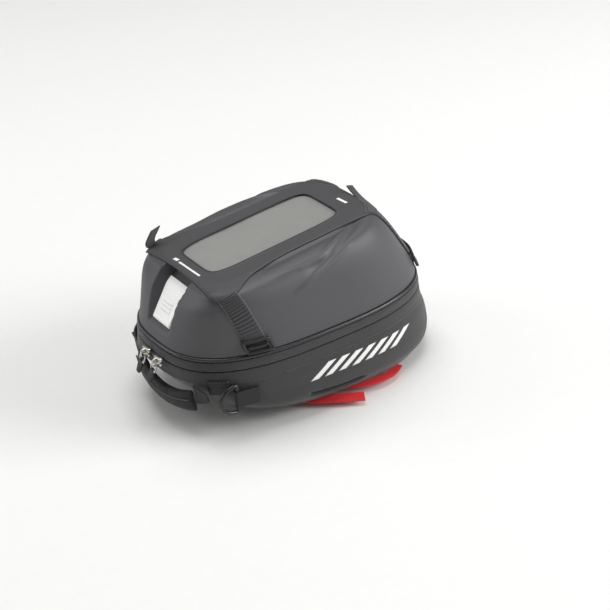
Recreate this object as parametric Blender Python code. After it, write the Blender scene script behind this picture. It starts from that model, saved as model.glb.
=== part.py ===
"""Tank bag that clicks on a fuel tank's ring: a zipped, moulded bag with a phone pocket on its lid.

Lengths are metres, +X is the motorcycle's front, +Y its left side and +Z is up.
The floor under the lock's foot is Z = 0.  Heights marked "level" count from the lid's piped edge.
"""
import math

import bmesh
import bpy
from mathutils import Matrix, Vector

# ---- driving dimensions ----
GAP = 0.0003                # air left between touching pieces
PIPE_Z = 0.080              # height of the lid's piped edge above the lock's foot
BAG_X = 0.0005              # the bag's middle ahead of the lock's middle
LOOP_A = 0.1348             # half length of the piped edge
LOOP_B = 0.0873             # half width of the piped edge
LOOP_POWER = 2.81           # superellipse power of the plan outline
COLUMNS = 48                # vertices round every lofted ring

SHELL = 0.0020              # lid shell thickness
PIPE_R = 0.0019             # radius of the piping bead
ZIP_LEVEL = -0.0110         # where the two rows of teeth meet
FOLD_LEVEL = -0.0235        # lower fold of the zip band
BAND = 0.0022               # thickness of the zip band

PANEL_X = -0.0154           # middle of the phone pocket, from the bag's middle
PANEL_LEVEL = 0.06865       # height of the pocket's window plane at that point
PANEL_PITCH = math.radians(5.85)
WINDOW_L = 0.140
WINDOW_W = 0.064
PHONE_ROOM = 0.0078         # clear depth of the pocket

FLOOR_Z = 0.0198            # underside of the body's floor
FLOOR = 0.0020
BOARD = 0.0040
PLATE = 0.0020
WALL = 0.0026               # fabric and foam of the body's side wall

LOCK_R = 0.063              # outer radius of the lock housing
LOCK_WALL = 0.003
LOCK_SOCKET_R = 0.042       # radius of the socket that drops over the tank ring
LOCK_COVER = 0.003          # thickness of the ring that closes the lock below
LOCK_ROOF = 0.0155          # height of the lock's ceiling
JAW_TRAVEL = 0.004
RELEASE_TRAVEL = 0.007

SCREW_R = 0.0021
SCREW_CIRCLE = 0.0505

# each lid ring: level at the pocket's middle, slope, front, rear, half width, front and rear power
LID_RINGS = (
    (0.0019, 0.0, 0.1342, 0.1342, 0.0867, 2.81, 2.81),
    (0.0130, 0.010, 0.1290, 0.1305, 0.0855, 2.85, 2.95),
    (0.0300, 0.030, 0.1170, 0.1255, 0.0830, 2.95, 3.3),
    (0.0480, 0.060, 0.1030, 0.1190, 0.0795, 3.1, 4.0),
    (0.0600, 0.092, 0.0910, 0.1110, 0.0740, 3.3, 5.0),
    (0.0655, 0.1025, 0.0840, 0.1065, 0.0665, 3.5, 6.0),
    (0.06765, 0.1025, 0.0790, 0.0990, 0.0520, 3.6, 6.0),
)
BADGE_HOLLOW = (0.0, 0.0045, 0.0105, 0.0125, 0.0120, 0.0100, 0.0050)    # depth at each lid ring
# each body ring: share of the way down from the band to the hem, front, rear, half width
BODY_RINGS = (
    (0.0, 0.1380, 0.1375, 0.0903),
    (0.3, 0.1440, 0.1290, 0.0920),
    (0.6, 0.1460, 0.1170, 0.0915),
    (0.85, 0.1410, 0.1060, 0.0880),
    (1.0, 0.1320, 0.1000, 0.0830),
)
HEM_MID = -0.0665           # level of the side wall's lower hem at the bag's middle
HEM_SLOPE = -0.074          # the hem drops towards the front, round the tank's shoulder

RED = (0.81, 0.02, 0.025, 1.0)
COLOURS = {
    "eva": ((0.066, 0.066, 0.070, 1.0), 0.62, 0.0),
    "weave": ((0.040, 0.040, 0.043, 1.0), 0.85, 0.0),
    "piping": ((0.030, 0.030, 0.032, 1.0), 0.45, 0.0),
    "coated": ((0.055, 0.055, 0.058, 1.0), 0.7, 0.0),
    "window": ((0.45, 0.45, 0.44, 0.6), 0.25, 0.0),
    "webbing": ((0.022, 0.022, 0.024, 1.0), 0.8, 0.0),
    "badge": ((0.68, 0.68, 0.66, 1.0), 0.45, 0.0),
    "black_plastic": ((0.018, 0.018, 0.019, 1.0), 0.3, 0.0),
    "board": ((0.05, 0.05, 0.05, 1.0), 0.6, 0.0),
    "nickel": ((0.62, 0.61, 0.58, 1.0), 0.25, 1.0),
    "steel": ((0.45, 0.45, 0.46, 1.0), 0.35, 1.0),
    "pull_rubber": ((0.03, 0.03, 0.03, 1.0), 0.6, 0.0),
    "red_webbing": (RED, 0.75, 0.0),
}


# ---- helpers ----
def material(name):
    """The part's own material, made once."""
    if name in bpy.data.materials:
        return bpy.data.materials[name]
    colour, roughness, metallic = COLOURS[name]
    made = bpy.data.materials.new(name)
    made.use_nodes = True
    shader = made.node_tree.nodes["Principled BSDF"]
    shader.inputs["Base Color"].default_value = colour
    shader.inputs["Roughness"].default_value = roughness
    shader.inputs["Metallic"].default_value = metallic
    shader.inputs["Alpha"].default_value = colour[3]
    made.diffuse_color = colour
    return made


def make_node(name, mesh_data, slot, smooth=True, parent=None, origin=(0, 0, 0)):
    """Turn a bmesh drawn in world metres into a named object whose origin is at origin."""
    bmesh.ops.recalc_face_normals(mesh_data, faces=mesh_data.faces)
    bmesh.ops.translate(mesh_data, verts=mesh_data.verts, vec=-Vector(origin))
    mesh = bpy.data.meshes.new(name)
    mesh_data.to_mesh(mesh)
    mesh_data.free()
    mesh.materials.append(material(slot))
    for face in mesh.polygons:
        face.use_smooth = smooth
    node = bpy.data.objects.new(name, mesh)
    bpy.context.collection.objects.link(node)
    node.location = origin
    if parent:
        node.parent = parent
        node.location = Vector(origin) - parent.location
    return node


def pivot(name, place):
    """An empty on a joint's axis, for the pieces that turn or slide together."""
    empty = bpy.data.objects.new(name, None)
    empty.location = place
    bpy.context.collection.objects.link(empty)
    return empty


def oval_point(angle, front, rear, half_width, power, rear_power=None):
    """Point of a superellipse whose front and rear halves can differ."""
    along, across = math.cos(angle), math.sin(angle)
    reach = front if along > 0 else rear
    if along < 0 and rear_power:
        power = rear_power
    x = math.copysign(reach * abs(along) ** (2 / power), along)
    y = math.copysign(half_width * abs(across) ** (2 / power), across)
    return x, y


def column_angles():
    return [2 * math.pi * (column + 0.5) / COLUMNS for column in range(COLUMNS)]


def ring(front, rear, half_width, level, slope=0.0, powers=(LOOP_POWER,), about=0.0):
    """One closed ring of points; its height follows a slope along X."""
    points = []
    for angle in column_angles():
        x, y = oval_point(angle, front, rear, half_width, *powers)
        points.append(Vector((BAG_X + x, y, PIPE_Z + level + slope * (x - about))))
    return points


def loft(rings, closed):
    """Skin a list of equal rings; a closed loft joins the last to the first, others are capped."""
    mesh_data = bmesh.new()
    rows = [[mesh_data.verts.new(point) for point in points] for points in rings]
    pairs = list(zip(rows, rows[1:]))
    if closed:
        pairs.append((rows[-1], rows[0]))
    for lower, upper in pairs:
        for column in range(len(lower)):
            after = (column + 1) % len(lower)
            mesh_data.faces.new((lower[column], lower[after], upper[after], upper[column]))
    if not closed:
        mesh_data.faces.new(rows[0])
        mesh_data.faces.new(rows[-1])
    return mesh_data


def grid_slab(inner, outer):
    """A closed slab between two equal grids of points."""
    mesh_data = bmesh.new()
    sheets = [[[mesh_data.verts.new(p) for p in row] for row in grid] for grid in (inner, outer)]
    rows, columns = len(inner), len(inner[0])
    for sheet in sheets:
        for row in range(rows - 1):
            for column in range(columns - 1):
                mesh_data.faces.new((sheet[row][column], sheet[row][column + 1],
                                     sheet[row + 1][column + 1], sheet[row + 1][column]))
    rim = [(0, column) for column in range(columns)]
    rim += [(row, columns - 1) for row in range(1, rows)]
    rim += [(rows - 1, column) for column in range(columns - 2, -1, -1)]
    rim += [(row, 0) for row in range(rows - 2, 0, -1)]
    for here, there in zip(rim, rim[1:] + rim[:1]):
        mesh_data.faces.new((sheets[0][here[0]][here[1]], sheets[0][there[0]][there[1]],
                             sheets[1][there[0]][there[1]], sheets[1][here[0]][here[1]]))
    return mesh_data


def box_mesh(low, high, turn=None):
    """A box between two corners, turned by a matrix if one is given."""
    mesh_data = bmesh.new()
    bmesh.ops.create_cube(mesh_data, size=1.0)
    low, high = Vector(low), Vector(high)
    for vertex in mesh_data.verts:
        vertex.co = Vector((low[i] + (vertex.co[i] + 0.5) * (high[i] - low[i]) for i in range(3)))
    if turn:
        bmesh.ops.transform(mesh_data, matrix=turn, verts=mesh_data.verts)
    return mesh_data


def rounded_outline(half_length, half_width, radius, steps=4):
    """Corner-rounded rectangle in a plane, anticlockwise."""
    points = []
    for quarter, (sx, sy) in enumerate(((1, 1), (-1, 1), (-1, -1), (1, -1))):
        for step in range(steps + 1):
            angle = math.pi / 2 * (quarter + step / steps)
            points.append(((half_length - radius) * sx + radius * math.cos(angle),
                           (half_width - radius) * sy + radius * math.sin(angle)))
    return points


def prism(outline, low, high, turn=None):
    """Extrude a plane outline from low to high along Z."""
    mesh_data = bmesh.new()
    face = mesh_data.faces.new([mesh_data.verts.new((x, y, low)) for x, y in outline])
    lifted = bmesh.ops.extrude_face_region(mesh_data, geom=[face])
    moved = [item for item in lifted["geom"] if isinstance(item, bmesh.types.BMVert)]
    bmesh.ops.translate(mesh_data, verts=moved, vec=(0, 0, high - low))
    if turn:
        bmesh.ops.transform(mesh_data, matrix=turn, verts=mesh_data.verts)
    return mesh_data


def circle(radius, count, start=0.0, sweep=2 * math.pi):
    steps = count if sweep >= 2 * math.pi else count - 1
    return [(radius * math.cos(start + sweep * step / steps),
             radius * math.sin(start + sweep * step / steps)) for step in range(count)]


def arc_band(inner, outer, start, sweep, count):
    """Outline of a stretch of a flat ring."""
    return circle(outer, count, start, sweep) + circle(inner, count, start, sweep)[::-1]


def turned(profile, count, place=(0, 0, 0)):
    """Turn a closed profile of (radius, height) points round a vertical axis."""
    rings = [[Vector((r * math.cos(a) + place[0], r * math.sin(a) + place[1], z + place[2]))
              for a in (2 * math.pi * k / count for k in range(count))] for r, z in profile]
    return loft(rings, closed=True)


def tube(name, points, radius, slot, cyclic=False, parent=None, origin=(0, 0, 0)):
    """A round bar along a list of points, as a curve with filled caps."""
    curve = bpy.data.curves.new(name, "CURVE")
    curve.dimensions = "3D"
    curve.bevel_depth = radius
    curve.bevel_resolution = 2
    curve.use_fill_caps = True
    spline = curve.splines.new("POLY")
    spline.points.add(len(points) - 1)
    for control, point in zip(spline.points, points):
        control.co = (*(Vector(point) - Vector(origin)), 1)
    spline.use_cyclic_u = cyclic
    curve.materials.append(material(slot))
    node = bpy.data.objects.new(name, curve)
    bpy.context.collection.objects.link(node)
    node.location = origin
    if parent:
        node.parent = parent
        node.location = Vector(origin) - parent.location
    return node


def cut(target, cutters):
    """Boolean difference with cutters that stay out of the build."""
    for cutter in cutters:
        cutter.hide_render = True
        cutter.display_type = "WIRE"
        step = target.modifiers.new("cut " + cutter.name, "BOOLEAN")
        step.operation = "DIFFERENCE"
        step.solver = "EXACT"
        step.object = cutter
    depsgraph = bpy.context.evaluated_depsgraph_get()
    mesh = bpy.data.meshes.new_from_object(target.evaluated_get(depsgraph))
    target.modifiers.clear()
    target.data = mesh
    for cutter in cutters:
        bpy.data.objects.remove(cutter)


def place(x, y, level):
    """World point from the bag's middle and a level."""
    return Vector((BAG_X + x, y, PIPE_Z + level))


# ---- lid ----
def lid_ring(row, inset=0.0):
    """Ring of the lid's wall, dented at the middle of the rear for the badge."""
    level, slope, front, rear, half_width, *powers = LID_RINGS[row]
    points = ring(front - inset, rear - inset, half_width - inset, level, slope, powers, PANEL_X)
    for column in (COLUMNS // 2 - 1, COLUMNS // 2):
        points[column].x += BADGE_HOLLOW[row]
    return points


def on_lid(angle, row, lift):
    """Point of the lid's outside on one ring, lifted along the local outward direction."""
    def at(angle, row):
        level, slope, front, rear, half_width, *powers = LID_RINGS[row]
        x, y = oval_point(angle, front, rear, half_width, *powers)
        return place(x, y, level + slope * (x - PANEL_X))
    low, high = max(row - 1, 0), min(row + 1, len(LID_RINGS) - 1)
    up = at(angle, high) - at(angle, low)
    side = at(angle + 0.05, row) - at(angle - 0.05, row)
    return at(angle, row) + lift * side.cross(up).normalized()


def angle_at(row, x=None, y=None, side=1):
    """Angle of a lid ring's point at a given x on its rear half, or y on its front half."""
    _, _, _, rear, half_width, front_power, rear_power = LID_RINGS[row]
    if x is not None:
        return side * (math.pi - math.acos((-x / rear) ** (rear_power / 2)))
    return side * math.asin((y / half_width) ** (front_power / 2))


def panel_turn():
    """From the pocket's own axes (along, across, out of the window) to world."""
    return (Matrix.Translation(place(PANEL_X, 0, PANEL_LEVEL))
            @ Matrix.Rotation(-PANEL_PITCH, 4, "Y"))


def lid_recess(grow, depth):
    """Ring of the pocket's recess, grown sideways and pushed below the window plane."""
    turn = panel_turn()
    points = []
    for angle in column_angles():
        x, y = oval_point(angle, WINDOW_L / 2 + 0.0050 + grow, WINDOW_L / 2 + 0.0050 + grow,
                          WINDOW_W / 2 + 0.0050 + grow, 9.0)
        points.append(turn @ Vector((x, y, -depth)))
    return points


def lid_shell(parent, origin):
    """Thermoformed lid: steep sides, a rounded shoulder and a recess for the phone pocket."""
    rows = range(len(LID_RINGS))
    outside = [lid_ring(row) for row in rows]
    inside = [lid_ring(row, SHELL) for row in rows]
    for row in rows:
        drop = SHELL * min(1.0, LID_RINGS[row][0] / 0.055) if row else 0.0
        for point in inside[row]:
            point.z -= drop
    depth = 0.0108
    top = [lid_recess(0.0, 0.0010), lid_recess(0.0, depth)]
    hidden = [lid_recess(SHELL, depth + SHELL), lid_recess(SHELL, 0.0010 + SHELL)]
    rings = [hidden[0], hidden[1]] + inside[::-1] + outside + top
    return make_node("lid_shell", loft(rings, closed=False), "eva", parent=parent, origin=origin)


def band_ring(out, level, inward=0.0):
    """Ring of the zip band; it bulges a little as it comes down."""
    bulge = 0.0012 + 0.0018 * min(1.0, -level / 0.0235)
    return ring(LOOP_A + bulge + out - inward, LOOP_A + bulge + out - inward,
                LOOP_B + bulge + out - inward, level)


def band(name, top, bottom, slot, parent=None, origin=(0, 0, 0), out=0.0, thick=BAND):
    """A closed strip of fabric between two levels."""
    rings = [band_ring(out, bottom), band_ring(out, top),
             band_ring(out, top, thick), band_ring(out, bottom, thick)]
    return make_node(name, loft(rings, closed=True), slot, parent=parent, origin=origin)


def teeth(name, top, bottom, parent=None, origin=(0, 0, 0)):
    """One row of zip teeth, which stops either side of the front hinge."""
    first = math.radians(26)
    count = 41
    angles = [first + (2 * math.pi - 2 * first) * step / (count - 1) for step in range(count)]

    def row(inward, level):
        bulge = 0.0012 + 0.0018 * min(1.0, -level / 0.0235) - inward
        flat = [oval_point(a, LOOP_A + bulge, LOOP_A + bulge, LOOP_B + bulge, LOOP_POWER)
                for a in angles]
        return [place(x, y, level) for x, y in flat]
    outer = [row(0.0002, bottom), row(0.0002, top)]
    inner = [row(0.0020, bottom), row(0.0020, top)]
    return make_node(name, grid_slab(inner, outer), "black_plastic", parent=parent, origin=origin)


def piping(parent, origin):
    """Round bead sewn round the lid's lower edge."""
    points = ring(LOOP_A - 0.0004, LOOP_A - 0.0004, LOOP_B - 0.0004, -0.0004)
    return tube("lid_piping", points, PIPE_R, "piping", cyclic=True, parent=parent, origin=origin)


def pocket(parent, origin):
    """Phone pocket on the lid: tray, window film and the H-shaped panel over both."""
    turn = panel_turn()
    half_l, half_w = WINDOW_L / 2, WINDOW_W / 2
    film_low, film_high = -0.0015, -0.0010
    room_low = film_low - PHONE_ROOM
    side = 0.0015
    edge = 0.0036
    tray = prism(rounded_outline(half_l + edge, half_w + edge, 0.013), room_low - 0.0012,
                 film_low - GAP, turn)
    tray = make_node("pocket_tray", tray, "coated", smooth=False, parent=parent, origin=origin)
    inner_l, inner_w, corner = half_l + edge - side, half_w + edge - side, 0.010
    hollow = prism([(-half_l - 0.01, inner_w), (-half_l - 0.01, -inner_w),
                    (inner_l - corner, -inner_w), (inner_l, -inner_w + corner),
                    (inner_l, inner_w - corner), (inner_l - corner, inner_w)],
                   room_low, 0.01, turn)
    cut(tray, [make_node("hollow", hollow, "coated", parent=parent, origin=origin)])
    film = prism(rounded_outline(half_l + 0.0028, half_w + 0.0028, 0.011), film_low, film_high, turn)
    make_node("pocket_window", film, "window", smooth=False, parent=parent, origin=origin)

    rear, front, rear_wing, front_wing, waist = 0.0850, 0.0925, 0.053, 0.049, 0.0415
    right = [(-rear, -rear_wing), (-0.062, -rear_wing), (-0.038, -waist - 0.002),
             (-0.010, -waist), (0.035, -waist), (0.065, -waist - 0.002),
             (front - 0.006, -front_wing), (front, -front_wing + 0.006)]
    outline = right + [(x, -y) for x, y in right[::-1]]
    panel = make_node("pocket_panel", prism(outline, film_high + GAP, 0.0009, turn), "coated",
                      smooth=False, parent=parent, origin=origin)
    sight = prism(rounded_outline(half_l, half_w, 0.009), -0.01, 0.01, turn)
    cut(panel, [make_node("sight", sight, "coated", parent=parent, origin=origin)])


def corner_strap(name, edges, parent, origin):
    """Elastic strap from a corner of the pocket panel down the lid, and the loop at its foot.

    edges(row) gives the angles of the strap's two edges on a lid ring.
    """
    def across(row, lift):
        first, last = edges(row)
        return [on_lid(first + (last - first) * step / 3, row, lift) for step in range(4)]
    rows = range(1, len(LID_RINGS) - 1)
    inner = [across(row, 0.0008) for row in rows]
    outer = [across(row, 0.0028) for row in rows]
    make_node("strap_" + name, grid_slab(inner, outer), "webbing", parent=parent, origin=origin)

    foot, head = across(0, 0.0034), across(1, 0.0034)
    corners = [foot[0].lerp(head[0], share) for share in (0.22, 0.80)]
    corners += [foot[-1].lerp(head[-1], share) for share in (0.80, 0.22)]
    tube("strap_loop_" + name, corners, 0.0014, "black_plastic", cyclic=True, parent=parent,
         origin=origin)


def rear_edges(side):
    """A rear strap leans: its foot is further forward than its top."""
    def edges(row):
        share = LID_RINGS[row][0] / LID_RINGS[5][0]
        return [angle_at(row, x=foot + (top - foot) * share, side=side)
                for foot, top in ((-0.0885, -0.1005), (-0.0660, -0.0820))]
    return edges


def front_edges(side):
    def edges(row):
        return [angle_at(row, y=y, side=side) for y in (0.0250, 0.0480)]
    return edges


def badge(parent, origin):
    """Blank plate on the lid's rear slope."""
    low, high = place(-0.1262, 0, 0.0150), place(-0.1018, 0, 0.0465)
    along = (high - low).normalized()
    out = Vector((-along.z, 0, along.x))
    lift = 0.0012
    inner, outer = [], []
    for step in range(3):
        share = step / 2
        half = 0.0150 + 0.0035 * share
        for grid, rise in ((inner, lift), (outer, lift + 0.0016)):
            middle = low.lerp(high, share) + out * rise
            grid.append([middle + Vector((0, y, 0)) for y in (-half, 0, half)])
    make_node("badge_plate", grid_slab(inner, outer), "badge", smooth=False, parent=parent,
              origin=origin)


def build_lid(hinge):
    parent, origin = pivot("lid_pivot", hinge), hinge
    lid_shell(parent, origin)
    piping(parent, origin)
    band("lid_zip_band", -PIPE_R - 0.0008, ZIP_LEVEL + 0.0020, "weave", parent, origin)
    teeth("lid_zip_teeth", ZIP_LEVEL + 0.0020 - GAP, ZIP_LEVEL + GAP / 2, parent, origin)
    pocket(parent, origin)
    for side, sign in (("right", -1), ("left", 1)):
        corner_strap("rear_" + side, rear_edges(sign), parent, origin)
        corner_strap("front_" + side, front_edges(sign), parent, origin)
    badge(parent, origin)


# ---- body ----
def hem_level(x):
    return HEM_MID + HEM_SLOPE * x


def body_ring(share, front, rear, half_width, inset=0.0, lift=0.0):
    """Ring of the body's side wall, part of the way from the band down to the hem."""
    points = []
    top = FOLD_LEVEL - GAP
    for angle in column_angles():
        x, y = oval_point(angle, front - inset, rear - inset, half_width - inset, LOOP_POWER)
        level = top + share * (hem_level(x) - top)
        points.append(place(x, y, level + lift))
    return points


def flat_ring(row, inset, height):
    _, front, rear, half_width = BODY_RINGS[row]
    points = ring(front - inset, rear - inset, half_width - inset, 0.0)
    for point in points:
        point.z = height
    return points


def body_shell():
    """Fabric tub: bulging sides, a hem that hangs round the tank and a flat floor above it."""
    outside = [body_ring(*row) for row in BODY_RINGS]
    hem = body_ring(1.0, *BODY_RINGS[-1][1:], inset=0.0035)
    inside = [body_ring(*row, inset=WALL) for row in BODY_RINGS[:3]]
    for point in inside[-1]:
        point.z = max(point.z, FLOOR_Z + FLOOR + 0.012)
    rings = [flat_ring(4, 0.0075, FLOOR_Z), hem] + outside[::-1] + inside
    rings += [flat_ring(4, 0.0045, FLOOR_Z + FLOOR)]
    return make_node("body_shell", loft(rings, closed=False), "weave")


def base_board():
    rings = [flat_ring(4, 0.0065, FLOOR_Z + FLOOR + GAP), flat_ring(4, 0.0065, board_top())]
    return make_node("base_board", loft(rings, closed=False), "board", smooth=False)


def board_top():
    return FLOOR_Z + FLOOR + GAP + BOARD


def counter_plate():
    low = board_top() + GAP
    return make_node("counter_plate", prism(circle(0.058, 32), low, low + PLATE), "steel",
                     smooth=False)


def hinge_strip():
    """The stretch of band at the front that stays sewn and lets the lid fold open."""
    angles = [math.radians(-24 + 48 * step / 8) for step in range(9)]

    def row(inward, level):
        reach = LOOP_A + 0.0015 - inward
        flat = [oval_point(a, reach, reach, LOOP_B + 0.0015 - inward, LOOP_POWER) for a in angles]
        return [place(x, y, level) for x, y in flat]
    outer = [row(BAND + 0.0006, -0.0225), row(BAND + 0.0006, ZIP_LEVEL - 0.0005)]
    inner = [row(BAND + 0.0018, -0.0225), row(BAND + 0.0018, ZIP_LEVEL - 0.0005)]
    make_node("lid_hinge_strip", grid_slab(inner, outer), "weave")


def side_strip(name, sign):
    """Curved welt under the slit on the side wall."""
    inner, outer = [], []
    for share in (0.80, 0.92):
        for grid, out in ((inner, 0.0006), (outer, 0.0022)):
            points = []
            for step in range(9):
                angle = math.radians(64 + 44 * step / 8)
                rear_to_front = [row for row in BODY_RINGS if row[0] <= 0.85][-1]
                after = BODY_RINGS[-1]
                blend = (share - rear_to_front[0]) / (after[0] - rear_to_front[0])
                front, rear, half = (a + (b - a) * blend
                                     for a, b in zip(rear_to_front[1:], after[1:]))
                x, y = oval_point(angle, front + out, rear + out, half + out, LOOP_POWER)
                top = FOLD_LEVEL - GAP
                points.append(place(x, sign * y, top + share * (hem_level(x) - top)))
            grid.append(points)
    make_node(name, grid_slab(inner, outer), "weave")


# ---- lock under the floor ----
def lock_housing():
    """Round housing: a roof that carries the screws and an outer wall with a slot for the strap."""
    top = FLOOR_Z - GAP
    profile = [(LOCK_R, 0.0), (LOCK_R, top), (0.0120, top), (0.0120, LOCK_ROOF),
               (LOCK_R - LOCK_WALL, LOCK_ROOF), (LOCK_R - LOCK_WALL, 0.0)]
    housing = make_node("lock_housing", turned(profile, 40), "black_plastic", smooth=False)
    slot = box_mesh((-0.036, -0.070, LOCK_COVER + 0.0001), (0.014, -0.040, 0.0122))
    cut(housing, [make_node("strap slot", slot, "black_plastic")])
    return housing


def lock_seat():
    """Pad in the middle of the lock's ceiling, which rests on the tank ring."""
    top = FLOOR_Z - GAP
    return make_node("lock_seat_pad", prism(circle(0.0117, 24), LOCK_ROOF, top), "pull_rubber",
                     smooth=False)


def lock_cover():
    """Flat ring that closes the jaws' channel from below."""
    outer = LOCK_R - LOCK_WALL - GAP
    profile = [(outer, 0.0), (outer, LOCK_COVER), (LOCK_SOCKET_R, LOCK_COVER),
               (LOCK_SOCKET_R, 0.0)]
    return make_node("lock_cover", turned(profile, 40), "black_plastic", smooth=False)


def jaw(name, direction):
    """Arc-shaped latch jaw that slides outwards in the channel."""
    reach = math.radians(52)
    start = -reach / 2 + (math.pi if direction < 0 else 0)
    outline = arc_band(0.0385, 0.0510, start, reach, 9)
    parent = pivot(name + "_pivot", (0.045 * direction, 0, 0.008))
    body = prism(outline, LOCK_COVER + GAP, 0.0118)
    make_node(name, body, "nickel", smooth=False, parent=parent, origin=parent.location)


def jaw_spring(name, direction):
    """Spring behind a jaw, drawn at its pressed length against the wall."""
    outer = LOCK_R - LOCK_WALL - 0.0009
    low, high = sorted((direction * (outer - 0.0035), direction * outer))
    count, radius = 12, 0.0026
    points = [[Vector((x, radius * math.cos(a), 0.0078 + radius * math.sin(a)))
               for a in (2 * math.pi * k / count for k in range(count))] for x in (low, high)]
    make_node(name, loft(points, closed=False), "steel")


def release():
    """Slider in the lock's channel with the red webbing that pulls it."""
    parent = pivot("release_pivot", (0, -0.048, 0.008))
    origin = parent.location
    body = box_mesh((-0.020, -0.0515, LOCK_COVER + GAP), (0.012, -0.0440, 0.0118))
    make_node("release_slider", body, "black_plastic", smooth=False, parent=parent, origin=origin)

    def ribbon(name, route, width, thick=0.0014):
        inner, outer = [], []
        for step, (x, y, z) in enumerate(route):
            before, after = route[max(step - 1, 0)], route[min(step + 1, len(route) - 1)]
            along = Vector(after) - Vector(before)
            across = Vector((along.y, -along.x, 0)).normalized() * width / 2
            middle = Vector((x, y, z))
            inner.append([middle - across, middle + across])
            outer.append([point + Vector((0, 0, thick)) for point in inner[-1]])
        make_node(name, grid_slab(inner, outer), "red_webbing", smooth=False, parent=parent,
                  origin=origin)
    ribbon("release_strap_tail", ((-0.0190, -0.0530, 0.0050), (-0.0195, -0.0590, 0.0050),
                                  (-0.0130, -0.0690, 0.0049), (0.0040, -0.0845, 0.0046),
                                  (0.0225, -0.1010, 0.0042)), 0.014)
    ribbon("release_strap_front", ((0.0060, -0.0526, 0.0068), (0.0070, -0.0640, 0.0068),
                                   (0.0200, -0.0800, 0.0066), (0.0400, -0.0885, 0.0062),
                                   (0.0620, -0.0880, 0.0056), (0.0780, -0.0790, 0.0050)),
           0.010, 0.0012)


def screws():
    """Four screws from inside the bag down into the lock."""
    top = board_top() + GAP + PLATE
    for step in range(4):
        angle = math.radians(45 + 90 * step)
        x, y = SCREW_CIRCLE * math.cos(angle), SCREW_CIRCLE * math.sin(angle)
        profile = [(0.0, LOCK_ROOF - 0.0010), (SCREW_R, LOCK_ROOF - 0.0010), (SCREW_R, top + GAP),
                   (0.0042, top + GAP), (0.0042, top + 0.0016), (0.0022, top + 0.0028), (0.0, top + 0.0028)]
        make_node(f"base_screw_{step + 1}", stud(profile, 12, (x, y, 0)), "steel")


def stud(profile, count, centre):
    """Turn an open profile that starts and ends on its own axis."""
    rings = [[Vector((r * math.cos(a) + centre[0], r * math.sin(a) + centre[1], z))
              for a in (2 * math.pi * k / count for k in range(count))] for r, z in profile[1:-1]]
    return loft(rings, closed=False)


def drill(nodes):
    """Clearance holes for the four screws."""
    for node in nodes:
        cutters = []
        for step in range(4):
            angle = math.radians(45 + 90 * step)
            x, y = SCREW_CIRCLE * math.cos(angle), SCREW_CIRCLE * math.sin(angle)
            hole = prism(circle(SCREW_R + GAP + 0.0001, 12), 0.0125, 0.0350,
                         Matrix.Translation((x, y, 0)))
            cutters.append(make_node(f"hole {step}", hole, "steel"))
        cut(node, cutters)


# ---- handle, D-rings and zip sliders ----
HANDLE_AXIS = (-0.1275, 0.0, -0.0245)
GRIP_R = 0.145              # radius of the grip's curve
GRIP_HALF = math.radians(20.5)
GRIP_MID_LEVEL = -0.0490


def handle():
    """Padded grip on two webbing ends that swings at the rear."""
    axis = place(*HANDLE_AXIS)
    parent = pivot("handle_pivot", axis)

    def middle(angle, out, depth):
        y = (GRIP_R + out) * math.sin(angle)
        level = GRIP_MID_LEVEL + GRIP_R - (GRIP_R + out) * math.cos(angle)
        x = -0.1350 + 0.0075 * (angle / GRIP_HALF) ** 2 + depth
        return place(x, y, level)
    section = [(0.0095 * math.cos(a), 0.0045 * math.sin(a))
               for a in (2 * math.pi * k / 12 for k in range(12))]
    rings = [[middle(-GRIP_HALF + 2 * GRIP_HALF * step / 14, out, depth) for out, depth in section]
             for step in range(15)]
    make_node("handle_grip", loft(rings, closed=False), "webbing", parent=parent, origin=axis)

    for name, sign in (("right", -1), ("left", 1)):
        start = middle(sign * (GRIP_HALF + 0.050), 0.0, 0.0)
        end = place(-0.1262, sign * 0.0610, -0.0262)
        along = (end - start).normalized()
        out = Vector((-1.0, 0.25 * sign, 0.0))
        out = (out - along * out.dot(along)).normalized()
        across = along.cross(out) * 0.0085
        rise = out * 0.0009
        inner = [[p - across - rise, p + across - rise] for p in (start, end)]
        outer = [[p - across + rise, p + across + rise] for p in (start, end)]
        make_node("handle_strap_" + name, grid_slab(inner, outer), "webbing", smooth=False,
                  parent=parent, origin=axis)
        anchor(name, sign)


def anchor(name, sign):
    """Webbing tab sewn on the band, where a handle end hangs."""
    angle = math.pi - math.radians(34) * sign
    grids = []
    for out in (0.0010, 0.0028):
        rows = []
        for level in (-0.0225, -0.0140):
            bulge = 0.0012 + 0.0018 * min(1.0, -level / 0.0235) + out
            row = []
            for turn in (-4, 0, 4):
                x, y = oval_point(angle + math.radians(turn), LOOP_A + bulge, LOOP_A + bulge,
                                  LOOP_B + bulge, LOOP_POWER)
                row.append(place(x, y, level))
            rows.append(row)
        grids.append(rows)
    make_node("handle_anchor_" + name, grid_slab(*grids), "webbing", smooth=False)


def d_ring(name, sign):
    """Moulded D-ring that swings on its straight bar, and the webbing tab that holds it."""
    bar = place(-0.0990, sign * 0.0788, -0.0370)
    parent = pivot("d_ring_pivot_" + name, bar)
    points = [bar + Vector((0, 0, 0.011 - 0.022 * step / 3)) for step in range(4)]
    points += [bar + Vector((-0.0165 * math.sin(a), 0, -0.011 * math.cos(a) * 1.15))
               for a in (math.pi * (k + 1) / 10 for k in range(9))]
    tube("d_ring_" + name, points, 0.0019, "black_plastic", cyclic=True, parent=parent, origin=bar)
    near, far = (-0.0965, 0.0795), (-0.0800, 0.0850)
    grids = []
    for rise in (-0.0008, 0.0008):
        grids.append([[place(x, sign * (y + rise), level) for x, y in (near, far)]
                      for level in (-0.0450, -0.0290)])
    make_node("d_ring_tab_" + name, grid_slab(*grids), "webbing", smooth=False)


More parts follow.
